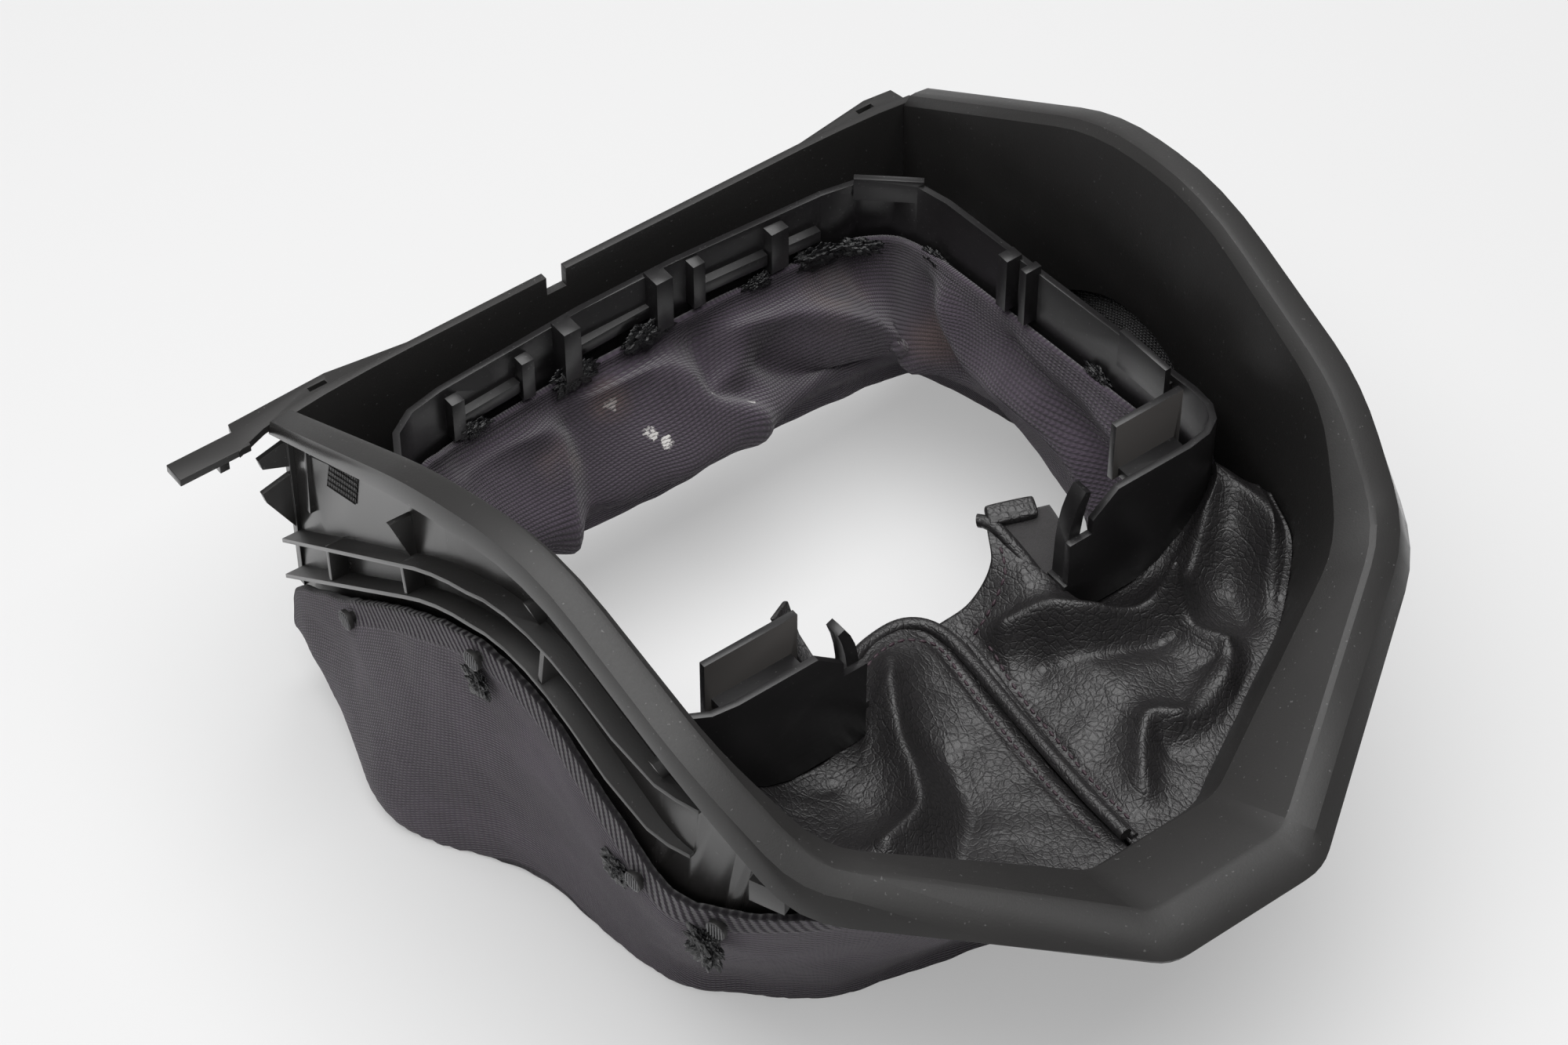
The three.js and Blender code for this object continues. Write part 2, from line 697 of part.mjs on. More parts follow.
// Stations of the gaiter on one side, from the middle of the front round to the rear corner.
// rim: station of the surround that the hem is held to; outer and inner: edges of the low fold;
// belly: the loop's inner side half way up; collar: place on the collar where the inner edge is held;
// heel: height of the outer edge's bend; lean: how much further out the right-hand fold lies.
const sideLoop = [
  {
    rim: 0, collar: -1, heel: 9,
    outer: [0, 62, 0], inner: [0, 84, 0], belly: [0, 101, -60],
  },
  {
    rim: 5, collar: -0.35, heel: 9,
    outer: [34, 69, 0], inner: [30, 89, 0], belly: [27, 102, -58],
  },
  {
    rim: 9, collar: 0.08, heel: 9,
    outer: [64, 78, 0], inner: [50, 98, 0], belly: [52, 106, -54],
  },
  {
    rim: 13.5, collar: 0.22, heel: 9, lean: 2,
    outer: [79, 91, 0], inner: [63, 104, 0], belly: [69, 110, -52],
  },
  {
    rim: 16.5, collar: 0.32, heel: 9, lean: 4,
    outer: [89, 101, 0], inner: [75, 111, 0], belly: [79, 115, -50],
  },
  {
    rim: 19, collar: 0.4, heel: 9, lean: 7,
    outer: [95, 115, 0], inner: [81, 121, 0], belly: [83, 125, -48],
  },
  {
    rim: 21.5, collar: 0.48, heel: 9, lean: 10,
    outer: [98, 138, 0], inner: [84, 138, 0], belly: [84, 140, -46],
  },
  {
    rim: 26, collar: 0.54, heel: 9, lean: 12,
    outer: [102, 162, 0], inner: [87, 162, 0], belly: [84, 164, -44],
  },
  {
    rim: 30.1, collar: 0.61, heel: 9, lean: 13,
    outer: [121, 196, 0], inner: [101, 188, 0], belly: [85, 190, -42],
  },
  {
    rim: 31, collar: 0.67, heel: 8, lean: 8,
    outer: fromRear(117, 34, 8), inner: fromRear(97, 44, 8), belly: fromRear(82, 44, -42),
  },
  {
    rim: 32, collar: 0.74, heel: 5, lean: 2,
    outer: fromRear(110, 1, 13), inner: fromRear(91, 22, 13), belly: fromRear(77, 32, -42),
  },
];

// The same from the rear corner to the middle of the back, where the hem lies inside the cross panel
const rearLoop = [
  {
    hemX: 108, hemY: coverLength + cornerHemReach, hemTop: -67, drop: 3, collar: 0.79, heel: 3,
    outer: fromRear(107, -3, 14), inner: fromRear(88, 20, 14), belly: fromRear(72, 32, -42),
  },
  {
    hemX: 94, hemY: coverLength - rearHemInset, hemTop: -60, drop: 4, collar: 0.82, heel: 3,
    outer: fromRear(93, 2, 19), inner: fromRear(77, 22, 19), belly: fromRear(66, 33, -42),
  },
  {
    hemX: 72, hemY: coverLength - rearHemInset, hemTop: -46, drop: 10, collar: 0.85, heel: 4,
    outer: fromRear(71, 3, 23), inner: fromRear(62, 24, 22), belly: fromRear(56, 34, -41),
  },
  {
    hemX: 44, hemY: coverLength - rearHemInset, hemTop: -46, drop: 10, collar: 0.91, heel: 4,
    outer: fromRear(44, 3, 24), inner: fromRear(40, 23, 23), belly: fromRear(38, 33, -42),
  },
  {
    hemX: 16, hemY: coverLength - rearHemInset, hemTop: -46, drop: 10, collar: 0.97, heel: 4,
    outer: fromRear(16, 3, 25), inner: fromRear(13, 25, 25), belly: fromRear(12, 38, -39),
  },
];

// Line of the cloth from the surround's wall, round the low fold, up to the collar
function loopProfile(hem, foot, outer, inner, belly, held, heel) {
  return [
    hem,
    foot,
    vec(outer.x, outer.y, base + outer.z + heel),
    outer.clone().lerp(inner, 0.12).setZ(base + outer.z),
    outer.clone().lerp(inner, 0.86).setZ(base + inner.z),
    vec(inner.x, inner.y, base + inner.z + 9),
    belly,
    held.clone().setZ(held.z - 3),
    held.clone().setZ(held.z + 5),
  ];
}

function flipped(point, side) {
  return vec(side * point.x, point.y, point.z);
}

// Lines of the cloth at even steps through a list of stations
function loopColumns(stations, steps, side, ends) {
  const count = (stations.length - 1) * steps;
  const curve = (key, share) => {
    const points = stations.map(({ [key]: [x, y, z], lean = 0 }) => vec(x + share * lean, y, z));
    return new THREE.CatmullRomCurve3(points, false, "centripetal");
  };
  const spread = side > 0 ? 1 : 0;
  const [outer, inner] = [curve("outer", 0.4 * spread), curve("inner", spread)];
  const curves = { outer, inner, belly: curve("belly", 0) };
  const columns = [];
  for (let i = 0; i <= count; i++) {
    const k = Math.min(Math.floor(i / steps), stations.length - 2);
    const along = (key) => THREE.MathUtils.lerp(stations[k][key], stations[k + 1][key], i / steps - k);
    const [hem, foot] = ends(along);
    const point = (key) => flipped(curves[key].getPoint(i / count), side);
    const held = collarPoint(along("collar"), side, collarWall + 2 * gap + knitThickness);
    columns.push(loopProfile(hem, foot, point("outer"), point("inner"), point("belly"), held, along("heel")));
  }
  return columns;
}

function sideColumns(side) {
  const ends = (along) => [
    wallPoint(along("rim"), hemShare, hemReach, side),
    wallPoint(along("rim"), 1.04, hemReach, side),
  ];
  return loopColumns(sideLoop, columnsPerStation, side, ends);
}

function rearColumns(side) {
  const ends = (along) => [
    vec(side * along("hemX"), along("hemY"), along("hemTop")),
    vec(side * along("hemX"), along("hemY"), along("hemTop") - along("drop")),
  ];
  return loopColumns(rearLoop, columnsPerStation, side, ends);
}

const columnsPerStation = 2;
const profileRows = 19;

// Smooth closed sheet, one list of points per column: from the middle of the front, round by the left
function ringGrid() {
  const left = [...sideColumns(-1), ...rearColumns(-1)];
  const right = [...sideColumns(1).slice(1), ...rearColumns(1)].reverse();
  return [...left, ...right].map((line) => {
    return smoothRow(line, profileRows).map((point) => point.setZ(Math.max(point.z, base)));
  });
}

// Inner face of the closed sheet: each point moved square to the cloth
function ringInside(grid) {
  const count = grid.length;
  return grid.map((column, i) =>
    column.map((point, j) => {
      const along = grid[(i + 1) % count][j].clone().sub(grid[(i + count - 1) % count][j]);
      const below = column[Math.min(j + 1, column.length - 1)];
      const across = below.clone().sub(column[Math.max(j - 1, 0)]);
      return point.clone().addScaledVector(along.cross(across).normalize(), -knitThickness);
    }),
  );
}

const knitOuter = ringGrid();
const knitInner = ringInside(knitOuter);

// One panel of the gaiter between two columns, with its ends drawn in for the seams
function knitPanel(first, last) {
  const pick = (grid) => {
    const columns = [];
    for (let i = first; i <= last; i++) {
      columns.push(grid[(i + grid.length) % grid.length].map((p) => p.clone()));
    }
    const drawIn = (end, next) => end.map((p, j) => p.add(next[j].clone().sub(p).setLength(gap)));
    columns[0] = drawIn(columns[0], columns[1]);
    columns[columns.length - 1] = drawIn(columns[columns.length - 1], columns[columns.length - 2]);
    return columns;
  };
  return slabSolid(pick(knitOuter), pick(knitInner));
}

const frontColumns = 2 * columnsPerStation;
const cornerColumns = (sideLoop.length - 1) * columnsPerStation;

function knitSide(side) {
  const panel = side < 0 ? knitPanel(frontColumns, cornerColumns) : knitPanel(-cornerColumns, -frontColumns);
  return panel.subtract(joined(stakeStations.map((index) => stakeHole(index, side))));
}

function knitFront() {
  return knitPanel(-frontColumns, frontColumns);
}

function knitBack() {
  return knitPanel(cornerColumns, knitOuter.length - cornerColumns);
}

// Folds that stand up from the leather: a line in plan, a height and a half width
const leatherFolds = [
  { line: [[17, 105], [33, 89], [61, 86], [61, 58]], height: 7, width: 7 },
  { line: [[72, 55], [95, 87], [97, 114]], height: 4, width: 6 },
  { line: [[56, 80], [80, 96]], height: 5, width: 6 },
  { line: [[29, 58], [2, 35]], height: 5, width: 6 },
  { line: [[-30, 95], [-31, 76], [-44, 67], [-62, 70]], height: 8, width: 7 },
  { line: [[-62, 70], [-84, 90]], height: 4, width: 7 },
];

function distanceToLine(x, y, line) {
  let nearest = Infinity;
  for (let i = 0; i < line.length - 1; i++) {
    const [ax, ay] = line[i];
    const [bx, by] = line[i + 1];
    const t = ((x - ax) * (bx - ax) + (y - ay) * (by - ay)) / ((bx - ax) ** 2 + (by - ay) ** 2);
    const s = THREE.MathUtils.clamp(t, 0, 1);
    nearest = Math.min(nearest, Math.hypot(x - ax - s * (bx - ax), y - ay - s * (by - ay)));
  }
  return nearest;
}

function foldHeight(x, y) {
  return leatherFolds.reduce((sum, { line, height, width }) => {
    return sum + height * Math.exp(-((distanceToLine(x, y, line) / width) ** 2));
  }, 0);
}

const seamHalf = 1.7;
const leatherRows = 10;

// Edge of the leather on the inside of the surround's wall
function leatherAtWall(index, share) {
  return wallPoint(index, share, -(shellWall + gap + leatherThickness), 1);
}

// Edge of the leather under the collar's lower edge
function leatherAtCollar(share) {
  const point = collarPoint(share, 1, 1.2);
  return point.setZ(point.z - gap - leatherThickness);
}

// Pairs of edge points from the seam in the middle to the collar's corner: at the surround, at the collar
function leatherSpans(side) {
  const free = side > 0 ? [vec(14, 122, -16), vec(25, 121, -6)] : [vec(14, 121, -21), vec(26, 117, -21)];
  return [
    [leatherAtWall(0, 0.8).setX(seamHalf), vec(seamHalf, 123, -22)],
    [leatherAtWall(2, 0.8), free[0]],
    [leatherAtWall(4.5, 0.8), free[1]],
    [leatherAtWall(6, 0.8), vec(32, 102, -22)],
    [leatherAtWall(7, 0.82), leatherAtCollar(0)],
    [leatherAtWall(8.5, 0.85), leatherAtCollar(0.12)],
    [leatherAtWall(11, 0.8), leatherAtCollar(0.22)],
    [leatherAtWall(14, 0.58), leatherAtCollar(0.29)],
    [leatherAtWall(17, 0.62), leatherAtCollar(0.35)],
  ];
}

// Height of the leather between its two edges, with a slight sag and the standing folds
function leatherPoint(atWall, atCollar, v, side) {
  const point = atWall.clone().lerp(atCollar, v);
  const free = Math.min(1, 5 * v, 5 * (1 - v));
  const lift = free * foldHeight(side * point.x, point.y) - 2.5 * Math.sin(Math.PI * v);
  return point.setZ(point.z + lift);
}

function leatherGrid(side) {
  const spans = leatherSpans(side);
  const count = 3 * (spans.length - 1) + 1;
  const walls = smoothRow(spans.map((span) => span[0]), count);
  const collars = smoothRow(spans.map((span) => span[1]), count);
  return walls.map((atWall, i) => {
    const row = [];
    for (let k = 0; k < leatherRows; k++) {
      const point = leatherPoint(atWall, collars[i], k / (leatherRows - 1), side);
      row.push(vec(side * point.x, point.y, point.z));
    }
    return row;
  });
}

function leatherPanel(side) {
  const grid = leatherGrid(side);
  const raised = grid.map((row) => row.map((p) => p.clone().setZ(p.z + leatherThickness)));
  return slabSolid(grid, raised);
}

// Round cord along a line of points
function cord(points, radius, sides = 8) {
  const path = new THREE.CatmullRomCurve3(points, false, "centripetal");
  const section = new THREE.Shape();
  for (let i = 0; i < sides; i++) {
    const angle = (2 * Math.PI * i) / sides;
    const place = [radius * Math.cos(angle), radius * Math.sin(angle)];
    if (i === 0) section.moveTo(...place);
    else section.lineTo(...place);
  }
  const steps = 4 * (points.length - 1);
  const geometry = new THREE.ExtrudeGeometry(section, { steps, bevelEnabled: false, extrudePath: path });
  return toSolid(geometry);
}

function seamPiping() {
  const top = (y) => leatherPoint(leatherAtWall(0, 0.8).setX(0), vec(0, 123, -22), (y - 38) / 85, 1).z + 1.5;
  const line = [vec(-12, 124.5, -18), vec(-4, 125.5, -19), vec(0, 121, -19.5)];
  for (const y of [108, 94, 80, 66, 52, 40]) line.push(vec(0, y, top(y)));
  return cord(line, 1.35);
}

function hemBinding() {
  return cord([vec(14, 123.9, -15), vec(26.4, 123, -5), vec(30.4, 112.4, -13), vec(33.2, 105.2, -19.3)], 1.6);
}

// Flat patch with three or more corners, given as points of its front
function patch(corners, thickness) {
  const [a, b, c, d = c.clone().add(vec(0.5, 0, 0.5))] = corners;
  const normal = b.clone().sub(a).cross(c.clone().sub(a)).setLength(thickness);
  const front = [
    [a, b],
    [d, c],
  ];
  return slabSolid(front, front.map((row) => row.map((p) => p.clone().add(normal))));
}

function feltPatch() {
  return patch([vec(29, 127, -1), vec(37, 130.5, 0), vec(37, 109, -15), vec(33, 110, -14.5)], 1.5);
}

function leftTab() {
  const rows = [
    [vec(-26.7, 118, -21), vec(-32.8, 103.4, -21)],
    [vec(-33, 119, -10), vec(-38, 108, -10)],
    [vec(-39, 120, 6), vec(-45, 112, 7)],
    [vec(-42, 121, 20), vec(-50, 116, 23)],
  ];
  return slabSolid(rows, rows.map((row) => row.map((p) => p.clone().add(vec(-1.2, 0.9, 0)))));
}

// Lump of melted plastic over a stake's foot, squashed flat against the cloth
function meltedDab(index, share, side, size, lift = 0) {
  const lump = new THREE.IcosahedronGeometry(size, 1);
  const rough = lump.getAttribute("position");
  for (let i = 0; i < rough.count; i++) {
    const [x, y, z] = [rough.getX(i), rough.getY(i), rough.getZ(i)];
    const bump = 1 + 0.16 * Math.sin(1.9 * x + 1.1 * y + index) * Math.cos(1.3 * z);
    rough.setXYZ(i, 0.28 * x * bump, y * bump, 0.8 * z * bump);
  }
  const out = outwards(index);
  lump.rotateZ(Math.atan2(out.y, side * out.x));
  const at = wallPoint(index, share, hemReach + lift + 0.33 * size, side);
  lump.translate(at.x, at.y, at.z);
  return toSolid(lump);
}

const meshes = [
  ["surround", surround(), grainedPlastic],
  ["rear_cross_panel", rearPanel(), grainedPlastic],
  ["collar_frame", collarFrame(), glossPlastic],
  ["knit_gaiter_left", knitSide(-1), knitCloth],
  ["knit_gaiter_right", knitSide(1), knitCloth],
  ["knit_gaiter_back", knitBack(), knitCloth],
  ["knit_gaiter_front", knitFront(), knitCloth],
  ["leather_apron_left", leatherPanel(-1), leather],
  ["leather_apron_right", leatherPanel(1), leather],
  ["apron_seam_piping", seamPiping(), leather],
  ["apron_hem_binding", hemBinding(), leather],
  ["apron_tab_left", leftTab(), leather],
  ["felt_patch_right", feltPatch(), feltCloth],
  ["melted_dab_rear", meltedDab(26, 1.1, -1, 4), meltedPlastic],
  ["melted_dab_middle", meltedDab(18.5, 1.05, -1, 4), meltedPlastic],
  ["melted_dab_front", meltedDab(13.9, 1.06, -1, 5, 3 * gap), meltedPlastic],
];

const cover = new THREE.Group();
for (const [name, solid, material] of meshes) {
  const mesh = new THREE.Mesh(toGeometry(solid), material);
  mesh.name = name;
  cover.add(mesh);
}

// The part's own frame: the middle of its base
const bounds = new THREE.Box3().setFromObject(cover);
const middle = bounds.getCenter(vec(0, 0, 0));
for (const mesh of cover.children) mesh.geometry.translate(-middle.x, -middle.y, -bounds.min.z);

export default cover;
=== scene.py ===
import json
import math

import bpy
import numpy as np
from mathutils import Matrix, Vector, noise
from mathutils.bvhtree import BVHTree

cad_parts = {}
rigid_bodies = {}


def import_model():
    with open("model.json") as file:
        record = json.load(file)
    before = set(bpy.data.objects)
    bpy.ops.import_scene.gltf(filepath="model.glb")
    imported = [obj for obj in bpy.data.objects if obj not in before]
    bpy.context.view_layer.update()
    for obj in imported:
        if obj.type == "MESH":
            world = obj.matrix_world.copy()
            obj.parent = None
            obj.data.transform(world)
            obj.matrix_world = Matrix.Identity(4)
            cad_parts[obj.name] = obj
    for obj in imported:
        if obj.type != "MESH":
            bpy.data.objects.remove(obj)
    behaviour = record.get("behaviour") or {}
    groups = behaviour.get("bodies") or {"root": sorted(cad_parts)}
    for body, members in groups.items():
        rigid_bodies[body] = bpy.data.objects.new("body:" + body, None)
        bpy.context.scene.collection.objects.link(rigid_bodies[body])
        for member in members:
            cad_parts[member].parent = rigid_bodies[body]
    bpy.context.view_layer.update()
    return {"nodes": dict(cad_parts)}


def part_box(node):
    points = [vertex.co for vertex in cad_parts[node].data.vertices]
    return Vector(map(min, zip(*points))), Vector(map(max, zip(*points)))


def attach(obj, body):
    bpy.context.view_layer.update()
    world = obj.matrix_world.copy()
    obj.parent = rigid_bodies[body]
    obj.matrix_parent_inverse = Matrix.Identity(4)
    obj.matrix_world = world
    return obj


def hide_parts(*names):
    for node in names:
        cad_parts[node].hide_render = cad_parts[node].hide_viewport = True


bl_info = {
    "name": "Steering column cover",
    "version": (1, 0, 0),
    "blender": (4, 5, 0),
    "location": "3D View > Sidebar > Column Cover",
    "description": "Makes the cover's plastic, knit and leather pieces over its solids",
    "category": "Object",
}

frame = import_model()

MM = 0.001

# The mirror plane of the cover, which the sheets' stations are measured from, in millimetres
MIDDLE = sum(corner.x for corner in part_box("surround")) / 2 / MM


# ---- Materials ----


class Wire:
    """A node's output socket that takes part in sums as a number does."""

    def __init__(self, finish, socket):
        self.finish = finish
        self.socket = socket

    def _maths(self, operation, *values):
        return self.finish.node("ShaderNodeMath", {"operation": operation}, dict(enumerate(values)))

    def __add__(self, other):
        return self._maths("ADD", self, other)

    def __radd__(self, other):
        return self._maths("ADD", other, self)

    def __sub__(self, other):
        return self._maths("SUBTRACT", self, other)

    def __rsub__(self, other):
        return self._maths("SUBTRACT", other, self)

    def __mul__(self, other):
        return self._maths("MULTIPLY", self, other)

    def __rmul__(self, other):
        return self._maths("MULTIPLY", other, self)

    def __truediv__(self, other):
        return self._maths("DIVIDE", self, other)

    def sine(self):
        return self._maths("SINE", self)

    def fraction(self):
        return self._maths("FRACT", self)

    def size(self):
        return self._maths("ABSOLUTE", self)

    def least(self, other):
        return self._maths("MINIMUM", self, other)

    def rise(self, low, high):
        """0 below low, 1 above high, smooth between them."""
        settings = {"interpolation_type": "SMOOTHSTEP"}
        limits = {"Value": self, "From Min": low, "From Max": high}
        return self.finish.node("ShaderNodeMapRange", settings, limits)


class Finish:
    """A material under a plain name, built up node by node."""

    def __init__(self, name):
        self.material = bpy.data.materials.new(name)
        self.material.use_nodes = True
        self.tree = self.material.node_tree
        self.shader = self.tree.nodes["Principled BSDF"]

    def node(self, kind, settings=None, inputs=None, out=0):
        made = self.tree.nodes.new(kind)
        for key, value in (settings or {}).items():
            setattr(made, key, value)
        for key, value in (inputs or {}).items():
            self.join(value, made.inputs[key])
        return Wire(self, made.outputs[out])

    def join(self, value, socket):
        if isinstance(value, Wire):
            self.tree.links.new(value.socket, socket)
        else:
            socket.default_value = value

    def place(self):
        """Object coordinates, in metres."""
        return self.node("ShaderNodeTexCoord", out="Object")

    def facing(self):
        """X, Y and Z of the way that the surface faces."""
        return self.parts(self.node("ShaderNodeTexCoord", out="Normal"))

    def parts(self, vector):
        made = self.tree.nodes.new("ShaderNodeSeparateXYZ")
        self.tree.links.new(vector.socket, made.inputs[0])
        return [Wire(self, made.outputs[k]) for k in range(3)]

    def noise(self, where, scale, detail=3.0, roughness=0.55, distortion=0.0):
        inputs = {
            "Vector": where,
            "Scale": scale,
            "Detail": detail,
            "Roughness": roughness,
            "Distortion": distortion,
        }
        return self.node("ShaderNodeTexNoise", None, inputs)

    def cells(self, where, scale, feature="DISTANCE_TO_EDGE"):
        inputs = {"Vector": where, "Scale": scale}
        return self.node("ShaderNodeTexVoronoi", {"feature": feature}, inputs)

    def stretched(self, where, scale, turn=(0, 0, 0)):
        inputs = {"Vector": where, "Scale": scale, "Rotation": turn}
        return self.node("ShaderNodeMapping", None, inputs)

    def mixed(self, factor, first, second, blend="MIX"):
        settings = {"data_type": "RGBA", "blend_type": blend}
        return self.node("ShaderNodeMix", settings, {0: factor, 6: first, 7: second}, out=2)

    def near(self, where, centre, reach):
        """1 at a point in millimetres, falling to 0 at the reach."""
        ends = {0: where, 1: tuple(c * MM for c in centre)}
        gap = self.node("ShaderNodeVectorMath", {"operation": "DISTANCE"}, ends, out="Value")
        return 1 - gap.rise(0.25 * reach * MM, reach * MM)

    def bump(self, height, depth, strength=1.0):
        """Normal from a height of 0 to 1, at a depth in millimetres."""
        inputs = {"Height": height, "Distance": depth * MM, "Strength": strength}
        return self.node("ShaderNodeBump", None, inputs)

    def set(self, **values):
        for key, value in values.items():
            self.join(value, self.shader.inputs[key.replace("_", " ")])
        return self.material


def grey(value):
    return (value, value, value, 1.0)


def shade(colour, share=1.0):
    """A colour setting, made lighter or darker, as a shader takes it."""
    return (*(share * c for c in colour), 1.0)


def grained_plastic():
    look = bpy.context.scene.cover_looks
    finish = Finish("moulded_plastic")
    where = finish.place()
    grain = finish.noise(where, 1500, 2.0, 0.6)
    pits = finish.cells(where, 1900, "F1")
    patches = finish.noise(where, 22, 3.0)
    dust = finish.noise(where, 900, 1.0).rise(0.72, 0.78)
    base = finish.mixed(patches.rise(0.3, 0.7), shade(look.plastic), shade(look.plastic, 1.25))
    base = finish.mixed(dust * 0.16, base, grey(0.32))
    # The arms' outer faces are smoother than the rest
    from_middle = (finish.parts(where)[0] - MIDDLE * MM) / 0.1
    outward = (finish.facing()[0] * from_middle).rise(0.35, 0.75)
    normal = finish.bump((grain * 0.7 + pits * 0.5) * (1 - outward * 0.8), 0.05, 0.55)
    return finish.set(
        Base_Color=base,
        Roughness=0.45 + (grain * 0.12 + patches * 0.06) * (1 - outward) - outward * 0.21,
        Normal=normal,
        IOR=1.5,
    )


def gloss_plastic():
    look = bpy.context.scene.cover_looks
    finish = Finish("smooth_plastic")
    where = finish.place()
    ripple = finish.noise(where, 60, 3.0)
    specks = finish.noise(where, 1300, 1.0).rise(0.70, 0.76)
    rubbed = finish.noise(finish.stretched(where, (1, 1, 9)), 130, 4.0)
    base = finish.mixed(specks * 0.14, shade(look.collar), grey(0.3))
    # Painted sheen: the satin clip plates' faces that face forwards behind the front flaps are painted
    # a lighter grey
    _, y, z = finish.parts(where)
    plate_sheen = (0 - finish.facing()[1]).rise(0.5, 0.8)
    plate_sheen *= y.rise(-0.0215, -0.0205) * (1 - y.rise(-0.012, -0.011)) * z.rise(0.088, 0.092)
    base = finish.mixed(plate_sheen * 0.8, base, (0.1, 0.094, 0.09, 1))
    normal = finish.bump(ripple, 0.12, 0.35)
    return finish.set(Base_Color=base, Roughness=0.26 + rubbed * 0.16, Normal=normal)


def knit_cloth():
    """Ribs of knitted loops, in the sheet's own millimetres along the hem and across from it."""
    look = bpy.context.scene.cover_looks
    finish = Finish("rib_knit")
    where = finish.place()
    along, across, _ = finish.parts(finish.node("ShaderNodeUVMap", {"uv_map": "Cloth"}))
    wander = finish.noise(where, 90, 2.0) - 0.5
    rib = (across + wander * 0.5) / look.rib_pitch
    rib_side = (rib.fraction() * 2 - 1).size()
    stitch = ((along / look.stitch_pitch + rib_side * 0.5) * math.tau).sine() * 0.5 + 0.5
    rib_height = 1 - rib_side * rib_side
    loops = rib_height * 0.6 + stitch * rib_height * 0.55
    hairs = finish.noise(where, 2600, 2.0, 0.7)

    # Ribbed edge band along the hem
    slant = ((along + across * 0.55) / look.edge_rib_pitch * math.tau).sine() * 0.5 + 0.5
    has_band = finish.node("ShaderNodeAttribute", {"attribute_name": "edge_ribs"}, out="Fac")
    at_edge = (1 - across.rise(8.0, 9.4)) * across.rise(-0.5, 0.6) * has_band
    height = loops * (1 - at_edge * 0.5) + slant * at_edge * 3.2 + hairs * 0.25

    tone = finish.noise(where, 38, 4.0, 0.6)
    # Painted shade: a dark knit colour laid in the grooves between the loops and ribs
    painted_knit_shade = shade(look.knit, 0.13)
    base = finish.mixed((loops * 0.85 + 0.02 + hairs * 0.2).least(1.0), painted_knit_shade, shade(look.knit))
    base = finish.mixed(tone.rise(0.42, 0.8) * 0.5, base, shade(look.knit, 1.35))
    # Painted shade in the grooves between the edge band's slanted ribs
    base = finish.mixed(at_edge * (1 - slant) * 0.6, base, painted_knit_shade)
    # The raw hem, and the inner face outside the right arm's wall, are in shadow
    base = finish.mixed((1 - across.rise(0.5, 1.6)) * 0.8, base, painted_knit_shade)
    past_wall = finish.parts(where)[0].rise(0.1135, 0.1155)
    in_gutter = (0 - finish.facing()[0]).rise(0.3, 0.7) * past_wall
    base = finish.mixed(in_gutter * 0.92, base, (0.008, 0.0075, 0.008, 1))

    ragged = finish.noise(where, 520, 4.0, 0.75)
    for centre, reach, weight in PALE_SCUFFS:
        mask = (finish.near(where, centre, reach) * 0.55 + ragged).rise(0.93, 1.05) * weight
        base = finish.mixed(mask, base, (0.62, 0.6, 0.58, 1))
    for centre, reach in BROWN_SMUDGES:
        mask = finish.near(where, centre, reach) * tone.rise(0.35, 0.6) * 0.45
        base = finish.mixed(mask, base, (0.105, 0.066, 0.05, 1))
    return finish.set(
        Base_Color=base,
        Roughness=0.86 + hairs * 0.1,
        Normal=finish.bump(height, 0.42, 1.0),
        Sheen_Weight=0.22,
        Sheen_Roughness=0.6,
        Specular_IOR_Level=0.2,
    )


def leather():
    look = bpy.context.scene.cover_looks
    finish = Finish("pebbled_leather")
    where = finish.place()
    sway = finish.node("ShaderNodeTexNoise", None, {"Vector": where, "Scale": 240.0}, out="Color")
    bent = finish.mixed(0.0016, where, sway, "ADD")
    pebble = finish.cells(bent, look.leather_grain)
    fine = finish.cells(where, look.leather_grain * 2.3)
    creases = finish.cells(finish.stretched(bent, (1.0, 0.55, 1.0), (0, 0, 0.6)), 170)
    pores = finish.noise(where, 2400, 1.0)
    height = pebble.rise(0.0, 0.16) * 0.55 + fine.rise(0.0, 0.2) * 0.2
    height += creases.rise(0.0, 0.06) * 0.5 + pores * 0.06
    rubbed = finish.noise(where, 45, 3.0)
    on_pebble = pebble.rise(0.0, 0.2)
    # Painted shade: the leather is darker in the creases between its pebbles
    base = finish.mixed(on_pebble * 0.8, shade(look.leather, 0.55), shade(look.leather))
    base = finish.mixed(rubbed.rise(0.5, 0.8) * 0.35, base, shade(look.leather, 1.5))
    return finish.set(
        Base_Color=base,
        Roughness=0.46 - on_pebble * 0.12 + rubbed * 0.08,
        Normal=finish.bump(height, 0.2, 0.7),
    )


def thread():
    finish = Finish("thread")
    along = finish.noise(finish.place(), 1500, 2.0)
    base = finish.mixed(along, (0.012, 0.006, 0.01, 1), (0.045, 0.02, 0.03, 1))
    return finish.set(Base_Color=base, Roughness=0.6, Normal=finish.bump(along, 0.08, 0.6))


def felt():
    finish = Finish("grey_felt")
    where = finish.place()
    hairs = finish.noise(finish.stretched(where, (1, 2.2, 1)), 1700, 3.0, 0.7)
    base = finish.mixed(hairs, (0.014, 0.0135, 0.014, 1), (0.05, 0.047, 0.048, 1))
    normal = finish.bump(hairs, 0.2, 0.8)
    return finish.set(Base_Color=base, Roughness=0.95, Normal=normal, Sheen_Weight=0.2)


def stake_grey():
    finish = Finish("stake_grey")
    scratches = finish.noise(finish.stretched(finish.place(), (1, 1, 0.2)), 1600, 2.0)
    base = finish.mixed(scratches, (0.05, 0.05, 0.052, 1), (0.17, 0.17, 0.174, 1))
    normal = finish.bump(scratches, 0.05, 0.5)
    return finish.set(Base_Color=base, Roughness=0.5, Normal=normal)


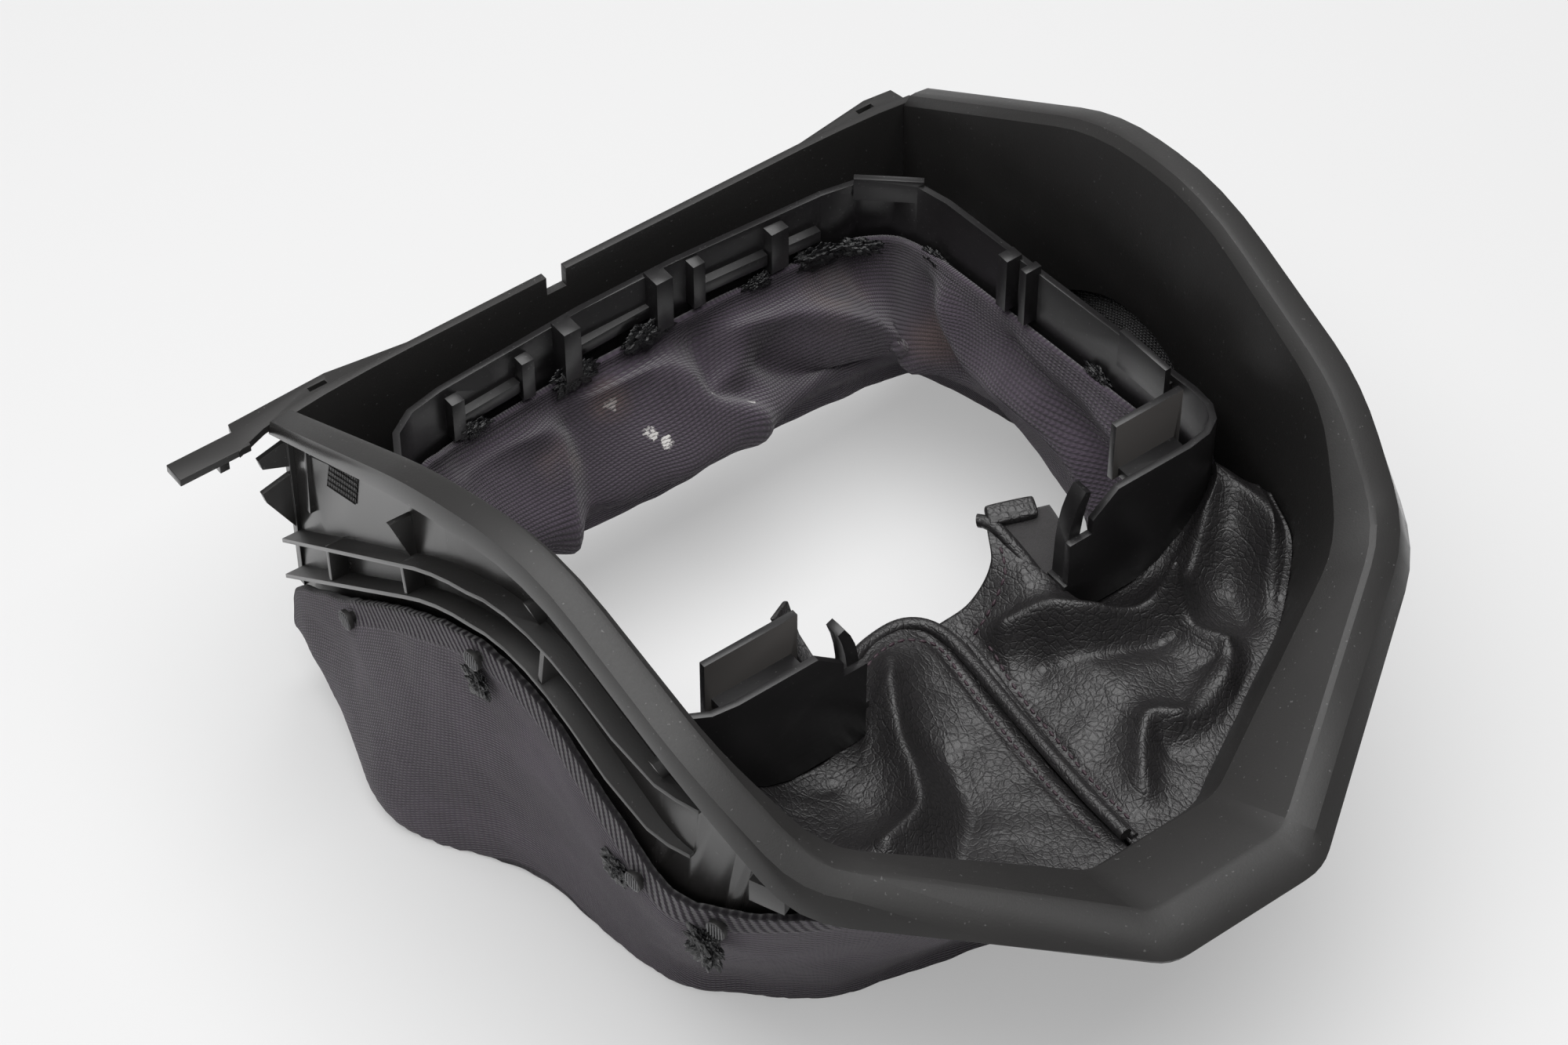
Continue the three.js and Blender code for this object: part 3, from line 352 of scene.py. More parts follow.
def melted_plastic():
    finish = Finish("melted_lumps")
    where = finish.place()
    strings = finish.noise(finish.stretched(where, (1, 1, 1.6)), 520, 4.0, 0.6, 1.2)
    dark, light = (0.004, 0.004, 0.0045, 1), (0.014, 0.014, 0.015, 1)
    base = finish.mixed(strings.rise(0.45, 0.75), dark, light)
    normal = finish.bump(strings, 0.5, 0.8)
    return finish.set(Base_Color=base, Roughness=0.1 + strings * 0.2, Normal=normal)


LOOKS = {
    "moulded_plastic": grained_plastic,
    "smooth_plastic": gloss_plastic,
    "rib_knit": knit_cloth,
    "pebbled_leather": leather,
    "thread": thread,
    "grey_felt": felt,
    "stake_grey": stake_grey,
    "melted_lumps": melted_plastic,
}


# ---- Sheets ----

# Stations of the gaiter from the middle of the front round to the middle of the back, for the side
# where x is positive, in millimetres with x from the mirror plane. Each has the hem and the foot of the
# outer edge, the outer and inner edges of the low fold, the inner side half way up, the edge held under
# the collar, the height of the bend at the outer edge, and how much further out the right hand fold is.
STATIONS = [
    ((0, -100.4, 63.4), (0, -98.3, 60.4), (0, -65.4, 0), (0, -43.4, 0),
     (0, -26.4, 28), (0, -23.4, 57), 9, 0),
    ((26, -98.9, 63.7), (26.3, -96.7, 60.5), (34, -58.4, 0), (30, -38.4, 0),
     (27, -25.4, 30), (26.7, -23.4, 57), 9, 0),
    ((80.6, -70.2, 71.3), (80, -67.4, 63.8), (64, -49.4, 0), (50, -29.4, 0),
     (52, -21.4, 34), (53.5, -23.4, 68.7), 9, 0),
    ((96.4, -51.8, 67.2), (96.2, -49, 55.1), (79, -36.4, 0), (63, -23.4, 0),
     (69, -17.4, 36), (74.8, -23.2, 78.8), 9, 2),
    ((103.6, -37.5, 67.3), (103.7, -34.8, 52.7), (89, -26.4, 0), (75, -16.4, 0),
     (79, -12.4, 38), (83.3, -20.3, 83.7), 9, 4),
    ((106.5, -16.4, 82.3), (106.8, -14.2, 68.8), (95, -12.4, 0), (81, -6.4, 0),
     (83, -2.4, 40), (85.6, -13.6, 83.6), 9, 7),
    ((109, 8.5, 100.2), (109.3, 9.9, 88.7), (98, 10.6, 0), (84, 10.6, 0),
     (84, 12.6, 42), (86, 18, 80.8), 9, 10),
    ((111.2, 32.7, 103.4), (111.3, 32.3, 93.1), (102, 34.6, 0), (87, 34.6, 0),
     (84, 36.6, 44), (86, 47.9, 78.1), 9, 12),
    ((111.9, 66.5, 86), (112, 65.3, 74.9), (121, 68.6, 0), (101, 60.6, 0),
     (85, 62.6, 46), (86, 82.7, 74.9), 9, 13),
    ((111.2, 97, 62.3), (111.4, 96.4, 49.4), (117, 96.6, 8), (97, 86.6, 8),
     (82, 86.6, 46), (85, 100.8, 73.3), 8, 8),
    ((110.5, 130.8, 36), (110.9, 130.8, 21), (110, 129.6, 13), (91, 108.6, 13),
     (77, 98.6, 46), (80.5, 110.3, 72.4), 5, 2),
    ((108, 134.6, 21), (108, 134.6, 18), (107, 133.6, 14), (88, 110.6, 14),
     (72, 98.6, 46), (74.4, 114.3, 72), 3, 0),
    ((94, 130.4, 28), (94, 130.4, 24), (93, 128.6, 19), (77, 108.6, 19),
     (66, 97.6, 46), (68.7, 115.4, 71.9), 3, 0),
    ((72, 130.4, 42), (72, 130.4, 32), (71, 127.6, 23), (62, 106.6, 22),
     (56, 96.6, 47), (62, 116.5, 71.8), 4, 0),
    ((44, 130.4, 42), (44, 130.4, 32), (44, 127.6, 24), (40, 107.6, 23),
     (38, 97.6, 46), (43.7, 117.7, 71.7), 4, 0),
    ((16, 130.4, 42), (16, 130.4, 32), (16, 127.6, 25), (13, 105.6, 25),
     (12, 92.6, 49), (25.2, 118.9, 71.6), 4, 0),
]

# Folds of the gaiter that the photograph shows: a line in the part's frame, how far the cloth stands
# out along it, and half the fold's width, in millimetres
GAITER_FOLDS = [
    ([(-52, 116, 74), (-36, 116, 70), (-26, 112, 64), (-29, 104, 55), (-33, 99, 44), (-34, 99, 34)],
     9.0, 6.5),
    ([(-20, 114, 64), (-21, 105.5, 57), (-24, 99, 48), (-25, 98, 40)], -7.0, 5.5),
    ([(-10, 118, 70), (5, 117, 68), (15, 112, 63), (21, 103, 57), (30, 97, 51)], 8.5, 6.5),
    ([(27, 116, 68), (26, 110, 62), (24, 106, 59), (33, 102, 56)], -9.0, 4.5),
    ([(41, 115, 66), (54, 113, 64), (67, 107, 59), (80, 101, 52), (89, 92, 45)], 9.5, 6.0),
    ([(44, 108, 58), (50, 103, 53), (66, 97, 45), (82, 96, 38)], -9.0, 5.5),
    ([(93, 89, 76), (92, 80, 64), (92, 67, 59), (92, 39, 61), (92, 23, 58), (91, 12, 48)], 7.5, 5.5),
    ([(93, 59, 72), (93, 40, 69), (92, 24, 67), (92, 12, 62)], -4.5, 4.5),
    ([(93, 52, 79), (93, 29, 80), (93, 9, 76)], 4.0, 5.0),
    ([(92, 96, 68), (90, 90, 58), (91, 78, 50)], -4.0, 4.0),
    ([(-60, 112, 66), (-66, 100, 52), (-68, 96, 36)], 4.0, 8.0),
    ([(-101, -20, 30), (-94, 6, 22), (-93, 20, 8)], -2.5, 9.0),
    ([(-100, 60, 60), (-106, 85, 40)], 1.8, 14.0),
]

# White scuffs and brown smudges on the back of the gaiter: place and reach in millimetres, strength
PALE_SCUFFS = [
    ((-7, 113, 66), 5, 0.4),
    ((-1, 103, 58), 5, 0.7),
    ((2, 99, 56), 5, 0.8),
    ((24, 106, 60), 6, 0.8),
    ((32, 99, 55), 3, 0.7),
]
BROWN_SMUDGES = [((70, 111, 63), 14), ((89, 86, 56), 13), ((-7, 114, 66), 9), ((-28, 108, 60), 10)]

# Edges of the leather from the seam in the middle to the collar's corner: at the surround's wall and at
# the free edge or the collar, for the left and right hand sides
LEATHER_WALL = [
    (0.7, -92.7, 64), (16.7, -92.7, 64), (21.6, -92.1, 64.2), (24, -91.3, 64.6), (47.8, -78.8, 68),
    (73.3, -65, 70.8), (81.6, -59.2, 72.3), (90.1, -51.2, 83), (96, -36.8, 84.6),
]
LEATHER_COLLAR = [
    (41, -27.2, 67), (59.8, -27.2, 67.4), (75.2, -27, 77.5), (83.5, -24.7, 82.2),
    (87.8, -20.1, 82.3),
]
LEATHER_FREE = {
    -1: [(0.7, -4.2, 68), (14, -3.9, 68.5), (26, -8.4, 67)],
    1: [(0.7, -9, 67), (9.5, -11.2, 72), (21.5, -8.8, 80.5), (28.8, -0.6, 86), (31, -14, 81.5),
        (32, -25, 75)],
}

# How far the seam bows to the right of the middle, by its place along the cover
SEAM_BOW = [
    (-92, 0.0), (-80, 0.2), (-65, 1.2), (-50, 2.6), (-38, 3.9), (-27, 5.0), (-17, 5.6), (-10, 5.0),
    (-3, 3.0),
]

# Columns and rows of points in each sheet, and of each fold's line
RING_COLUMNS, RING_ROWS = 420, 84
LEATHER_COLUMNS, LEATHER_ROWS = 190, 110
FOLD_STEPS = 24

# Half the breadth of a fold's rounded crest
CREST = 2.3

# Where the knit's coordinate across ends, at the collar, so that no edge band is made there
COLLAR_ACROSS = 400

# Folds of the leather in plan, in the part's frame: line, height and half width in millimetres
LEATHER_FOLDS = {
    1: [
        ([(90, -16), (96, -24), (97.5, -38), (95, -49), (88, -60)], 6.5, 3.6),
        ([(90, -28), (81.6, -35), (64.6, -44)], 7.0, 3.2),
        ([(64.6, -44), (52, -42), (39.6, -37.5), (30, -30), (22, -26)], 9.0, 3.2),
        ([(60, -51), (40, -45.5), (27, -37.5)], -4.5, 3.6),
        ([(64.6, -44), (63.2, -54), (66, -66.5), (60, -74)], 7.5, 3.4),
        ([(60, -74), (44.4, -77), (34.3, -71), (26, -77.5), (20.7, -86)], 7.0, 3.4),
        ([(42, -84), (34, -80)], -2.2, 4.0),
        ([(84, -46), (79, -58)], -3.5, 6.0),
        ([(48, -55), (30, -58), (16, -62)], 1.6, 7.0),
        ([(30, -18), (44, -24)], 2.0, 6.0),
    ],
    -1: [
        ([(-8, -14), (-13, -22), (-21.7, -38), (-25.7, -49), (-31.4, -58), (-46.8, -64)], 10.0, 5.0),
        ([(-11, -44), (-17, -60), (-31, -73)], -4.0, 6.0),
        ([(-58, -60), (-74, -46)], 3.5, 7.0),
        ([(-42, -34), (-38, -50)], -2.0, 6.0),
    ],
}


def through(points, count, closed=False):
    """Even steps along the smooth line, or sheet of lines, that runs through a list of points."""
    points = np.asarray(points, float)
    if closed:
        points = np.concatenate([points[-1:], points, points[:2]])
    else:
        points = np.concatenate([[2 * points[0] - points[1]], points, [2 * points[-1] - points[-2]]])
    gaps = np.linalg.norm(np.diff(points, axis=0), axis=-1).reshape(len(points) - 1, -1)
    gaps = np.sqrt(gaps.mean(1))
    knots = np.concatenate([[0], np.cumsum(np.maximum(gaps, 1e-6))])
    rows = []
    for t in np.linspace(knots[1], knots[-2], count, endpoint=not closed):
        k = min(max(int(np.searchsorted(knots, t, "right")) - 1, 1), len(points) - 3)
        p, s = points[k - 1 : k + 3], knots[k - 1 : k + 3]
        a = [((s[i + 1] - t) * p[i] + (t - s[i]) * p[i + 1]) / (s[i + 1] - s[i]) for i in range(3)]
        b = [((s[i + 2] - t) * a[i] + (t - s[i]) * a[i + 1]) / (s[i + 2] - s[i]) for i in range(2)]
        rows.append(((s[2] - t) * b[0] + (t - s[1]) * b[1]) / (s[2] - s[1]))
    return np.array(rows)


def evened(rows, count):
    """The same line at steps of equal length, for each column of a sheet."""
    made = np.empty((rows.shape[0], count, 3))
    for i, row in enumerate(rows):
        length = np.concatenate([[0], np.cumsum(np.linalg.norm(np.diff(row, axis=0), axis=1))])
        steps = np.linspace(0, length[-1], count)
        made[i] = np.stack([np.interp(steps, length, row[:, k]) for k in range(3)], axis=1)
    return made


def line_distance(points, line):
    """Distance from each point to a line of straight stretches."""
    nearest = np.full(points.shape[:-1], 1e9)
    for a, b in zip(np.array(line[:-1], float), np.array(line[1:], float)):
        share = np.clip(((points - a) @ (b - a)) / ((b - a) @ (b - a)), 0, 1)
        nearest = np.minimum(nearest, np.linalg.norm(points - a - share[..., None] * (b - a), axis=-1))
    return nearest


def ridge(distance, width):
    """1 on a fold's line, falling off on both sides from a narrow crest to a broad foot."""
    return np.exp(-(np.sqrt(distance**2 + CREST**2) - CREST) / width)


def folds_lift(points, folds, breadth=1.0):
    """How far the folds lift each point of a sheet, in millimetres."""
    return sum(
        height * ridge(line_distance(points, through(line, FOLD_STEPS)), breadth * width)
        for line, height, width in folds
    )


def rise(value, low, high):
    share = np.clip((value - low) / (high - low), 0, 1)
    return share * share * (3 - 2 * share)


def wrinkle(points, size, seed):
    """Smooth noise from -1 to 1 at each point, with bumps of about the size given in millimetres."""
    flat = points.reshape(-1, 3) / size
    values = [noise.noise(Vector((x + seed, y, z))) for x, y, z in flat]
    return np.array(values).reshape(points.shape[:-1])


def sheet_normals(grid, closed):
    if closed:
        along = np.roll(grid, -1, 0) - np.roll(grid, 1, 0)
    else:
        along = np.gradient(grid, axis=0)
    across = np.gradient(grid, axis=1)
    normal = np.cross(along, across)
    return normal / np.maximum(np.linalg.norm(normal, axis=-1, keepdims=True), 1e-9)


def gaiter_lines():
    """Control lines of the gaiter, one for each station, round by the left and back along the right."""

    def line(station, side):
        hem, foot, outer, inner, belly, held, heel, lean = (np.array(v, float) for v in station)
        if side > 0:
            outer[0] += 0.4 * lean
            inner[0] += lean
        low = outer + 0.12 * (inner - outer)
        high = outer + 0.86 * (inner - outer)
        low[2], high[2] = outer[2], inner[2]
        bend = outer + (0, 0, heel)
        tuck = [held - (0, 0, 3), held + (0, 0, 5)]
        points = [hem, foot, bend, low, high, inner + (0, 0, 9), belly, *tuck]
        return np.array(points) * (side, 1, 1) + (MIDDLE, 0, 0)

    left = [line(station, -1) for station in STATIONS]
    right = [line(station, 1) for station in STATIONS[1:]]
    return np.array(left + right[::-1])


def add_sheet(name, grid, closed, spread, thickness):
    """A piece from a grid of points in millimetres, with its cloth coordinates as a UV map."""
    columns, rows = grid.shape[:2]
    steps = columns if closed else columns - 1
    mesh = bpy.data.meshes.new(name)
    index = np.arange(columns * rows).reshape(columns, rows)
    faces, corners = [], []
    for i in range(steps):
        nxt = (i + 1) % columns
        for j in range(rows - 1):
            faces.append((index[i, j], index[nxt, j], index[nxt, j + 1], index[i, j + 1]))
            corners += [spread[i, j], spread[i + 1, j], spread[i + 1, j + 1], spread[i, j + 1]]
    faces = [tuple(int(v) for v in face) for face in faces]
    mesh.from_pydata((grid.reshape(-1, 3) * MM).tolist(), [], faces)
    layer = mesh.uv_layers.new(name="Cloth")
    layer.data.foreach_set("uv", np.array(corners, np.float32).ravel())
    mesh.validate()
    piece = linked(name, mesh)
    only(piece)
    modify(piece, "SOLIDIFY", thickness=thickness * MM, offset=-1.0, use_even_offset=False)
    bpy.ops.object.shade_smooth()
    return piece


def cloth_spread(grid, closed):
    """How far each point lies along the sheet and across it, in millimetres."""
    extended = np.concatenate([grid, grid[:1]]) if closed else grid
    along = np.linalg.norm(np.diff(extended[:, :1], axis=0), axis=-1)
    along = np.concatenate([[[0]], np.cumsum(along, axis=0)])
    across = np.linalg.norm(np.diff(extended, axis=1), axis=-1)
    across = np.concatenate([np.zeros((len(extended), 1)), np.cumsum(across, axis=1)], axis=1)
    return np.stack([np.broadcast_to(along, across.shape), across], axis=-1)


# ---- Modelling by hand ----


def linked(name, data):
    made = bpy.data.objects.new(name, data)
    bpy.context.collection.objects.link(made)
    return made


def select_none():
    bpy.ops.object.select_all(action="DESELECT")


def only(piece):
    """Selects one piece and nothing else."""
    select_none()
    piece.select_set(True)
    bpy.context.view_layer.objects.active = piece


def modify(piece, kind, **settings):
    only(piece)
    modifier = piece.modifiers.new(kind.title(), kind)
    for key, value in settings.items():
        setattr(modifier, key, value)
    bpy.ops.object.modifier_apply(modifier=modifier.name)


def placed(piece):
    """Puts the piece's place, turn and size into its mesh."""
    only(piece)
    bpy.ops.object.transform_apply(location=True, rotation=True, scale=True)
    return piece


def dressed(piece, look, nodes=()):
    """Gives a piece its material and its body, and hides the solids that it stands for."""
    piece.data.materials.clear()
    piece.data.materials.append(bpy.data.materials.get(look) or LOOKS[look]())
    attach(piece, "root")
    if nodes:
        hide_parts(*nodes)
    return piece


def moulding(node, name, width, angle=30.0):
    """A copy of a solid with its faces merged and its edges rounded as a moulding's are."""
    piece = linked(name, frame["nodes"][node].data.copy())
    only(piece)
    bpy.ops.object.mode_set(mode="EDIT")
    bpy.ops.mesh.select_all(action="SELECT")
    bpy.ops.mesh.remove_doubles(threshold=0.00002)
    bpy.ops.mesh.dissolve_limited(angle_limit=math.radians(0.6))
    bpy.ops.object.mode_set(mode="OBJECT")
    if width:
        modify(
            piece,
            "BEVEL",
            width=width * MM,
            segments=2,
            limit_method="ANGLE",
            angle_limit=math.radians(28),
        )
    only(piece)
    bpy.ops.object.shade_smooth_by_angle(angle=math.radians(angle))
    return piece


def surface_of(name):
    """A made piece's surface, to cast rays at."""
    return BVHTree.FromObject(bpy.data.objects[name], bpy.context.evaluated_depsgraph_get())


def add_block(centre, size, turn):
    """A block with its middle and size in millimetres."""
    select_none()
    bpy.ops.mesh.primitive_cube_add(size=1)
    block = bpy.context.object
    block.scale = [v * MM for v in size]
    block.rotation_euler = turn
    block.location = Vector(centre) * MM
    return placed(block)


def joined_pieces(pieces, name):
    only(pieces[0])
    for piece in pieces[1:]:
        piece.select_set(True)
    bpy.ops.object.join()
    piece = bpy.context.object
    piece.name = name
    return piece


# ---- Settings ----


def colour_setting(name, description, default):
    return bpy.props.FloatVectorProperty(
        name=name, description=description, subtype="COLOR", default=default
    )


def length_setting(name, description, default, low, high):
    """A length in millimetres."""
    return bpy.props.FloatProperty(
        name=name, description=description + " in millimetres", default=default, min=low, max=high
    )


class CoverLooks(bpy.types.PropertyGroup):
    plastic: colour_setting("Plastic", "Colour of the grained plastic", (0.012, 0.0113, 0.011))
    collar: colour_setting("Collar", "Colour of the smooth collar", (0.011, 0.0105, 0.011))
    knit: colour_setting("Knit", "Colour of the knitted gaiter", (0.055, 0.042, 0.059))
    leather: colour_setting("Leather", "Colour of the leather", (0.0165, 0.0153, 0.016))
    rib_pitch: length_setting("Rib pitch", "Distance between the knit's ribs", 1.1, 0.5, 3)
    stitch_pitch: length_setting("Stitch pitch", "Length of one knitted loop", 1.5, 0.5, 4)
    edge_rib_pitch: length_setting("Edge rib pitch", "Distance between the edge band's ribs", 2.7, 1, 5)
    leather_grain: bpy.props.FloatProperty(
        name="Leather grain",
        description="Pebbles of the leather's grain per metre",
        default=480,
        min=200,
        max=2000,
    )
    floor: colour_setting("Floor", "Colour of the floor", (0.8, 0.8, 0.802))


class CoverSizes(bpy.types.PropertyGroup):
    knit_thickness: length_setting("Knit thickness", "Thickness of the knit", 1.7, 0.8, 2.4)
    leather_thickness: length_setting("Leather thickness", "Thickness of the leather", 1.4, 0.6, 1.6)
    edge_round: length_setting("Edge round", "Rounding of the moulded edges", 0.35, 0.1, 1)
    stitch_step: length_setting("Stitch step", "Distance between the leather's stitches", 3.0, 2, 6)


# ---- Pieces ----


class COVER_OT_mouldings(bpy.types.Operator):
    """Surround, rear panel and collar with rounded edges."""

    bl_idname = "cover.mouldings"
    bl_label = "Mouldings"

    def execute(self, context):
        sizes = context.scene.cover_sizes
        surround = moulding("surround", "surround_shell", sizes.edge_round)
        dressed(surround, "moulded_plastic", ["surround"])
        rear = moulding("rear_cross_panel", "rear_panel", sizes.edge_round)
        dressed(rear, "moulded_plastic", ["rear_cross_panel"])
        collar = moulding("collar_frame", "collar", 0.9 * sizes.edge_round)
        dressed(collar, "smooth_plastic", ["collar_frame"])
        return {"FINISHED"}


# Corners of the waffle grid beside the left arm's outer wall, upper pair first
WAFFLE_CORNERS = [[(-105.5, 93, 117), (-105.5, 108, 111)], [(-99.5, 96.4, 98), (-99.5, 112, 92)]]
WAFFLE_ROWS, WAFFLE_COLUMNS = 9, 13


def waffle_points(surface):
    """Crossings of the waffle grid, each laid on the nearest place of the wall."""
    corners = np.array(WAFFLE_CORNERS, float)
    points = []
    for v in np.linspace(0, 1, WAFFLE_ROWS):
        for u in np.linspace(0, 1, WAFFLE_COLUMNS):
            upper = corners[0, 0] * (1 - u) + corners[0, 1] * u
            lower = corners[1, 0] * (1 - u) + corners[1, 1] * u
            place, normal, _, _ = surface.find_nearest(Vector(upper * (1 - v) + lower * v) * MM)
            points.append(place + normal * 0.1 * MM)
    return points


class COVER_OT_waffle(bpy.types.Operator):
    """Small moulded grid on the left arm."""

    bl_idname = "cover.waffle"
    bl_label = "Waffle grid"

    def execute(self, context):
        surface = surface_of("surround_shell")
        select_none()
        bpy.ops.mesh.primitive_grid_add(
            x_subdivisions=WAFFLE_COLUMNS - 1, y_subdivisions=WAFFLE_ROWS - 1, size=0.02
        )
        grid = context.object
        grid.name = "waffle_grid"
        for vertex, point in zip(grid.data.vertices, waffle_points(surface)):
            vertex.co = point
        modify(grid, "WIREFRAME", thickness=0.5 * MM, use_even_offset=False, use_replace=True)
        dressed(placed(grid), "moulded_plastic")
        return {"FINISHED"}


class COVER_OT_gaiter(bpy.types.Operator):
    """Knitted ring that joins the collar to the surround."""

    bl_idname = "cover.gaiter"
    bl_label = "Knitted gaiter"

    def execute(self, context):
        sizes = context.scene.cover_sizes
        ring = through(gaiter_lines(), RING_COLUMNS, closed=True)
        ring = np.array([through(row, 60) for row in ring])
        ring = evened(ring, RING_ROWS)
        spread = cloth_spread(ring, True)
        from_hem = spread[:-1, :, 1]
        from_collar = from_hem[:, -1:] - from_hem
        free = rise(from_hem, 3, 14) * rise(from_collar, 2, 12)
        normals = sheet_normals(ring, True)
        lift = folds_lift(ring, GAITER_FOLDS, 0.8)
        lift *= 0.35 + 0.65 * rise(ring[..., 2], 30, 50)
        lift += 1.3 * wrinkle(ring, 26, 3.1) + 0.5 * wrinkle(ring, 9, 7.7)
        ring = ring + normals * (lift * free)[..., None]
        soften = rise(from_hem, 0, 6)
        ragged = (1 - soften) * (0.9 * wrinkle(ring, 5, 1.3) + 0.5 * wrinkle(ring, 2.2, 9.2))
        ring[..., 2] = np.maximum(ring[..., 2] + ragged, 0)
        across = np.where(from_hem < from_collar, from_hem, COLLAR_ACROSS - from_collar)
        across = np.concatenate([across, across[:1]])
        spread = np.stack([spread[..., 0], across], axis=-1)
        piece = add_sheet("knitted_gaiter", ring, True, spread, sizes.knit_thickness)
        mark_edge_ribs(piece)
        nodes = ["knit_gaiter_" + part for part in ("left", "right", "back", "front")]
        dressed(piece, "rib_knit", nodes)
        flat = flat_size(ring, True, spread)
        return {"FINISHED"}


def flat_size(grid, closed, spread):
    """Width and length in metres of the flat sheet with the grid's area and its first edge's length."""
    if closed:
        grid = np.concatenate([grid, grid[:1]])
    a, b, c, d = grid[:-1, :-1], grid[1:, :-1], grid[1:, 1:], grid[:-1, 1:]
    halves = [np.linalg.norm(np.cross(p, c - a), axis=-1) for p in (b - a, d - a)]
    area = float(np.sum(halves) / 2)
    length = spread[-1, 0, 0]
    return (area / length * MM, length * MM)


def mark_edge_ribs(piece):
    """Where the ribbed band shows along the hem: along the arms and beside the middle of the front."""
    mesh = piece.data
    weights = mesh.attributes.new("edge_ribs", "FLOAT", "POINT")
    values = []
    for vertex in mesh.vertices:
        x, y = abs(vertex.co.x / MM - MIDDLE), vertex.co.y / MM
        side = rise(x, 70, 78) * rise(y, -90, -80) * (1 - rise(y, 92, 100))
        front = (1 - rise(y, -84, -78)) * rise(x, 14, 22) * (1 - rise(x, 62, 68))
        values.append(float(max(side, front)))
    weights.data.foreach_set("value", values)


def seam_bow(y):
    places, bows = zip(*SEAM_BOW)
    return np.interp(y, places, bows)


def leather_grid(side, columns, rows):
    """Top of the leather on one side, from the seam to the collar's corner and from the wall in."""
    inner = LEATHER_FREE[side] + LEATHER_COLLAR
    wall = through(np.array(LEATHER_WALL, float), columns)
    edge = through(np.array(inner, float), columns)
    share = np.linspace(-0.05, 1, rows)[None, :, None]
    grid = wall[:, None] * (1 - share) + edge[:, None] * share
    grid = grid * (side, 1, 1) + (MIDDLE, 0, 0)
    share = np.maximum(share, 0)
    near_seam = 1 - rise(np.abs(grid[..., 0] - MIDDLE), 6, 34)
    grid[..., 0] += seam_bow(grid[..., 1]) * near_seam
    flat = grid.copy()
    flat[..., 2] = 0
    v = share[..., 0]
    free = np.minimum(1, np.minimum(7 * v, 6 * (1 - v)))
    lift = folds_lift(flat, [([(*p, 0) for p in line], *fold) for line, *fold in LEATHER_FOLDS[side]])
    lift = lift + 0.7 * wrinkle(flat, 16, 5.0) + 0.3 * wrinkle(flat, 6, 2.0)
    off_seam = np.abs(flat[..., 0] - MIDDLE - seam_bow(flat[..., 1]))
    at_seam = rise(off_seam, 2, 9)
    grid[..., 2] += lift * free * (0.25 + 0.75 * at_seam) - 2.5 * np.sin(np.pi * v) + 1.6
    pucker = 0.5 * (1 - rise(np.abs(off_seam - 5.2), 0.4, 1.6))
    grid[..., 2] -= pucker * free
    return grid


class COVER_OT_apron(bpy.types.Operator):
    """Leather apron in two panels."""

    bl_idname = "cover.apron"
    bl_label = "Leather apron"

    def execute(self, context):
        sizes = context.scene.cover_sizes
        for side, name in ((-1, "left"), (1, "right")):
            grid = leather_grid(side, LEATHER_COLUMNS, LEATHER_ROWS)
            if side < 0:
                grid = grid[:, ::-1]
            spread = cloth_spread(grid, False)
            piece = add_sheet("leather_panel_" + name, grid, False, spread, sizes.leather_thickness)
            dressed(piece, "pebbled_leather", ["leather_apron_" + name])
            flat = flat_size(grid, False, spread)
        return {"FINISHED"}


def on_leather(points):
    """The same points laid on top of the leather."""
    trees = [surface_of("leather_panel_left"), surface_of("leather_panel_right")]
    laid = []
    for x, y, z in points:
        tops = [tree.ray_cast(Vector((x * MM, y * MM, 0.14)), Vector((0, 0, -1)))[0] for tree in trees]
        tops = [hit.z / MM for hit in tops if hit]
        laid.append((x, y, max(tops) if tops else z))
    return laid


def add_cord(name, points, radius):
    """A round cord along points in millimetres, closed at its ends."""
    select_none()
    curve = bpy.data.curves.new(name, "CURVE")
    curve.dimensions = "3D"
    curve.bevel_depth = radius * MM
    curve.bevel_resolution = 4
    curve.resolution_u = 3
    curve.use_fill_caps = True
    spline = curve.splines.new("NURBS")
    spline.points.add(len(points) - 1)
    for point, place in zip(spline.points, points):
        point.co = (*(c * MM for c in place), 1)
    spline.order_u = 4
    spline.use_endpoint_u = True
    piece = linked(name, curve)
    only(piece)
    bpy.ops.object.convert(target="MESH")
    bpy.ops.object.shade_smooth()
    return bpy.context.object


# The piping along the left panel's free edge, in plan, and the binding beside the patch
PIPING_HEM = [
    (-16, -8), (-12, -5.4), (-8, -4), (-4, -3.3), (1, -3), (5.5, -3.7), (9.4, -6.4), (11.8, -11),
    (12.4, -17),
]
BINDING = [
    (34.6, 1.4, 86.6), (36.6, -1, 87.6), (37.5, -8, 85.2), (38, -16, 82.2), (38.5, -23, 79.2),
    (38.8, -28, 75.5),
]

# Corners of the felt patch: its left edge and its right edge, from the fold to the leather
PATCH_CORNERS = [[(36.8, 0, 87.2), (38.6, -26, 78)], [(52.5, -6.6, 88), (52.5, -24.4, 80)]]

# The row of stitches beside the binding, in plan
PATCH_STITCHES = [(17.5, -18.5), (22, -18), (27, -16.5), (31.5, -14.5), (34, -10), (35, -5.5)]


def smoothed_on_leather(line, rise_by):
    """A line in plan laid along the leather without its small bumps."""
    laid = np.array(on_leather([(x, y, 68) for x, y in line]))
    padded = np.pad(laid[:, 2], 2, mode="edge")
    laid[:, 2] = np.convolve(padded, np.ones(5) / 5, "valid") + rise_by
    return [tuple(point) for point in laid]


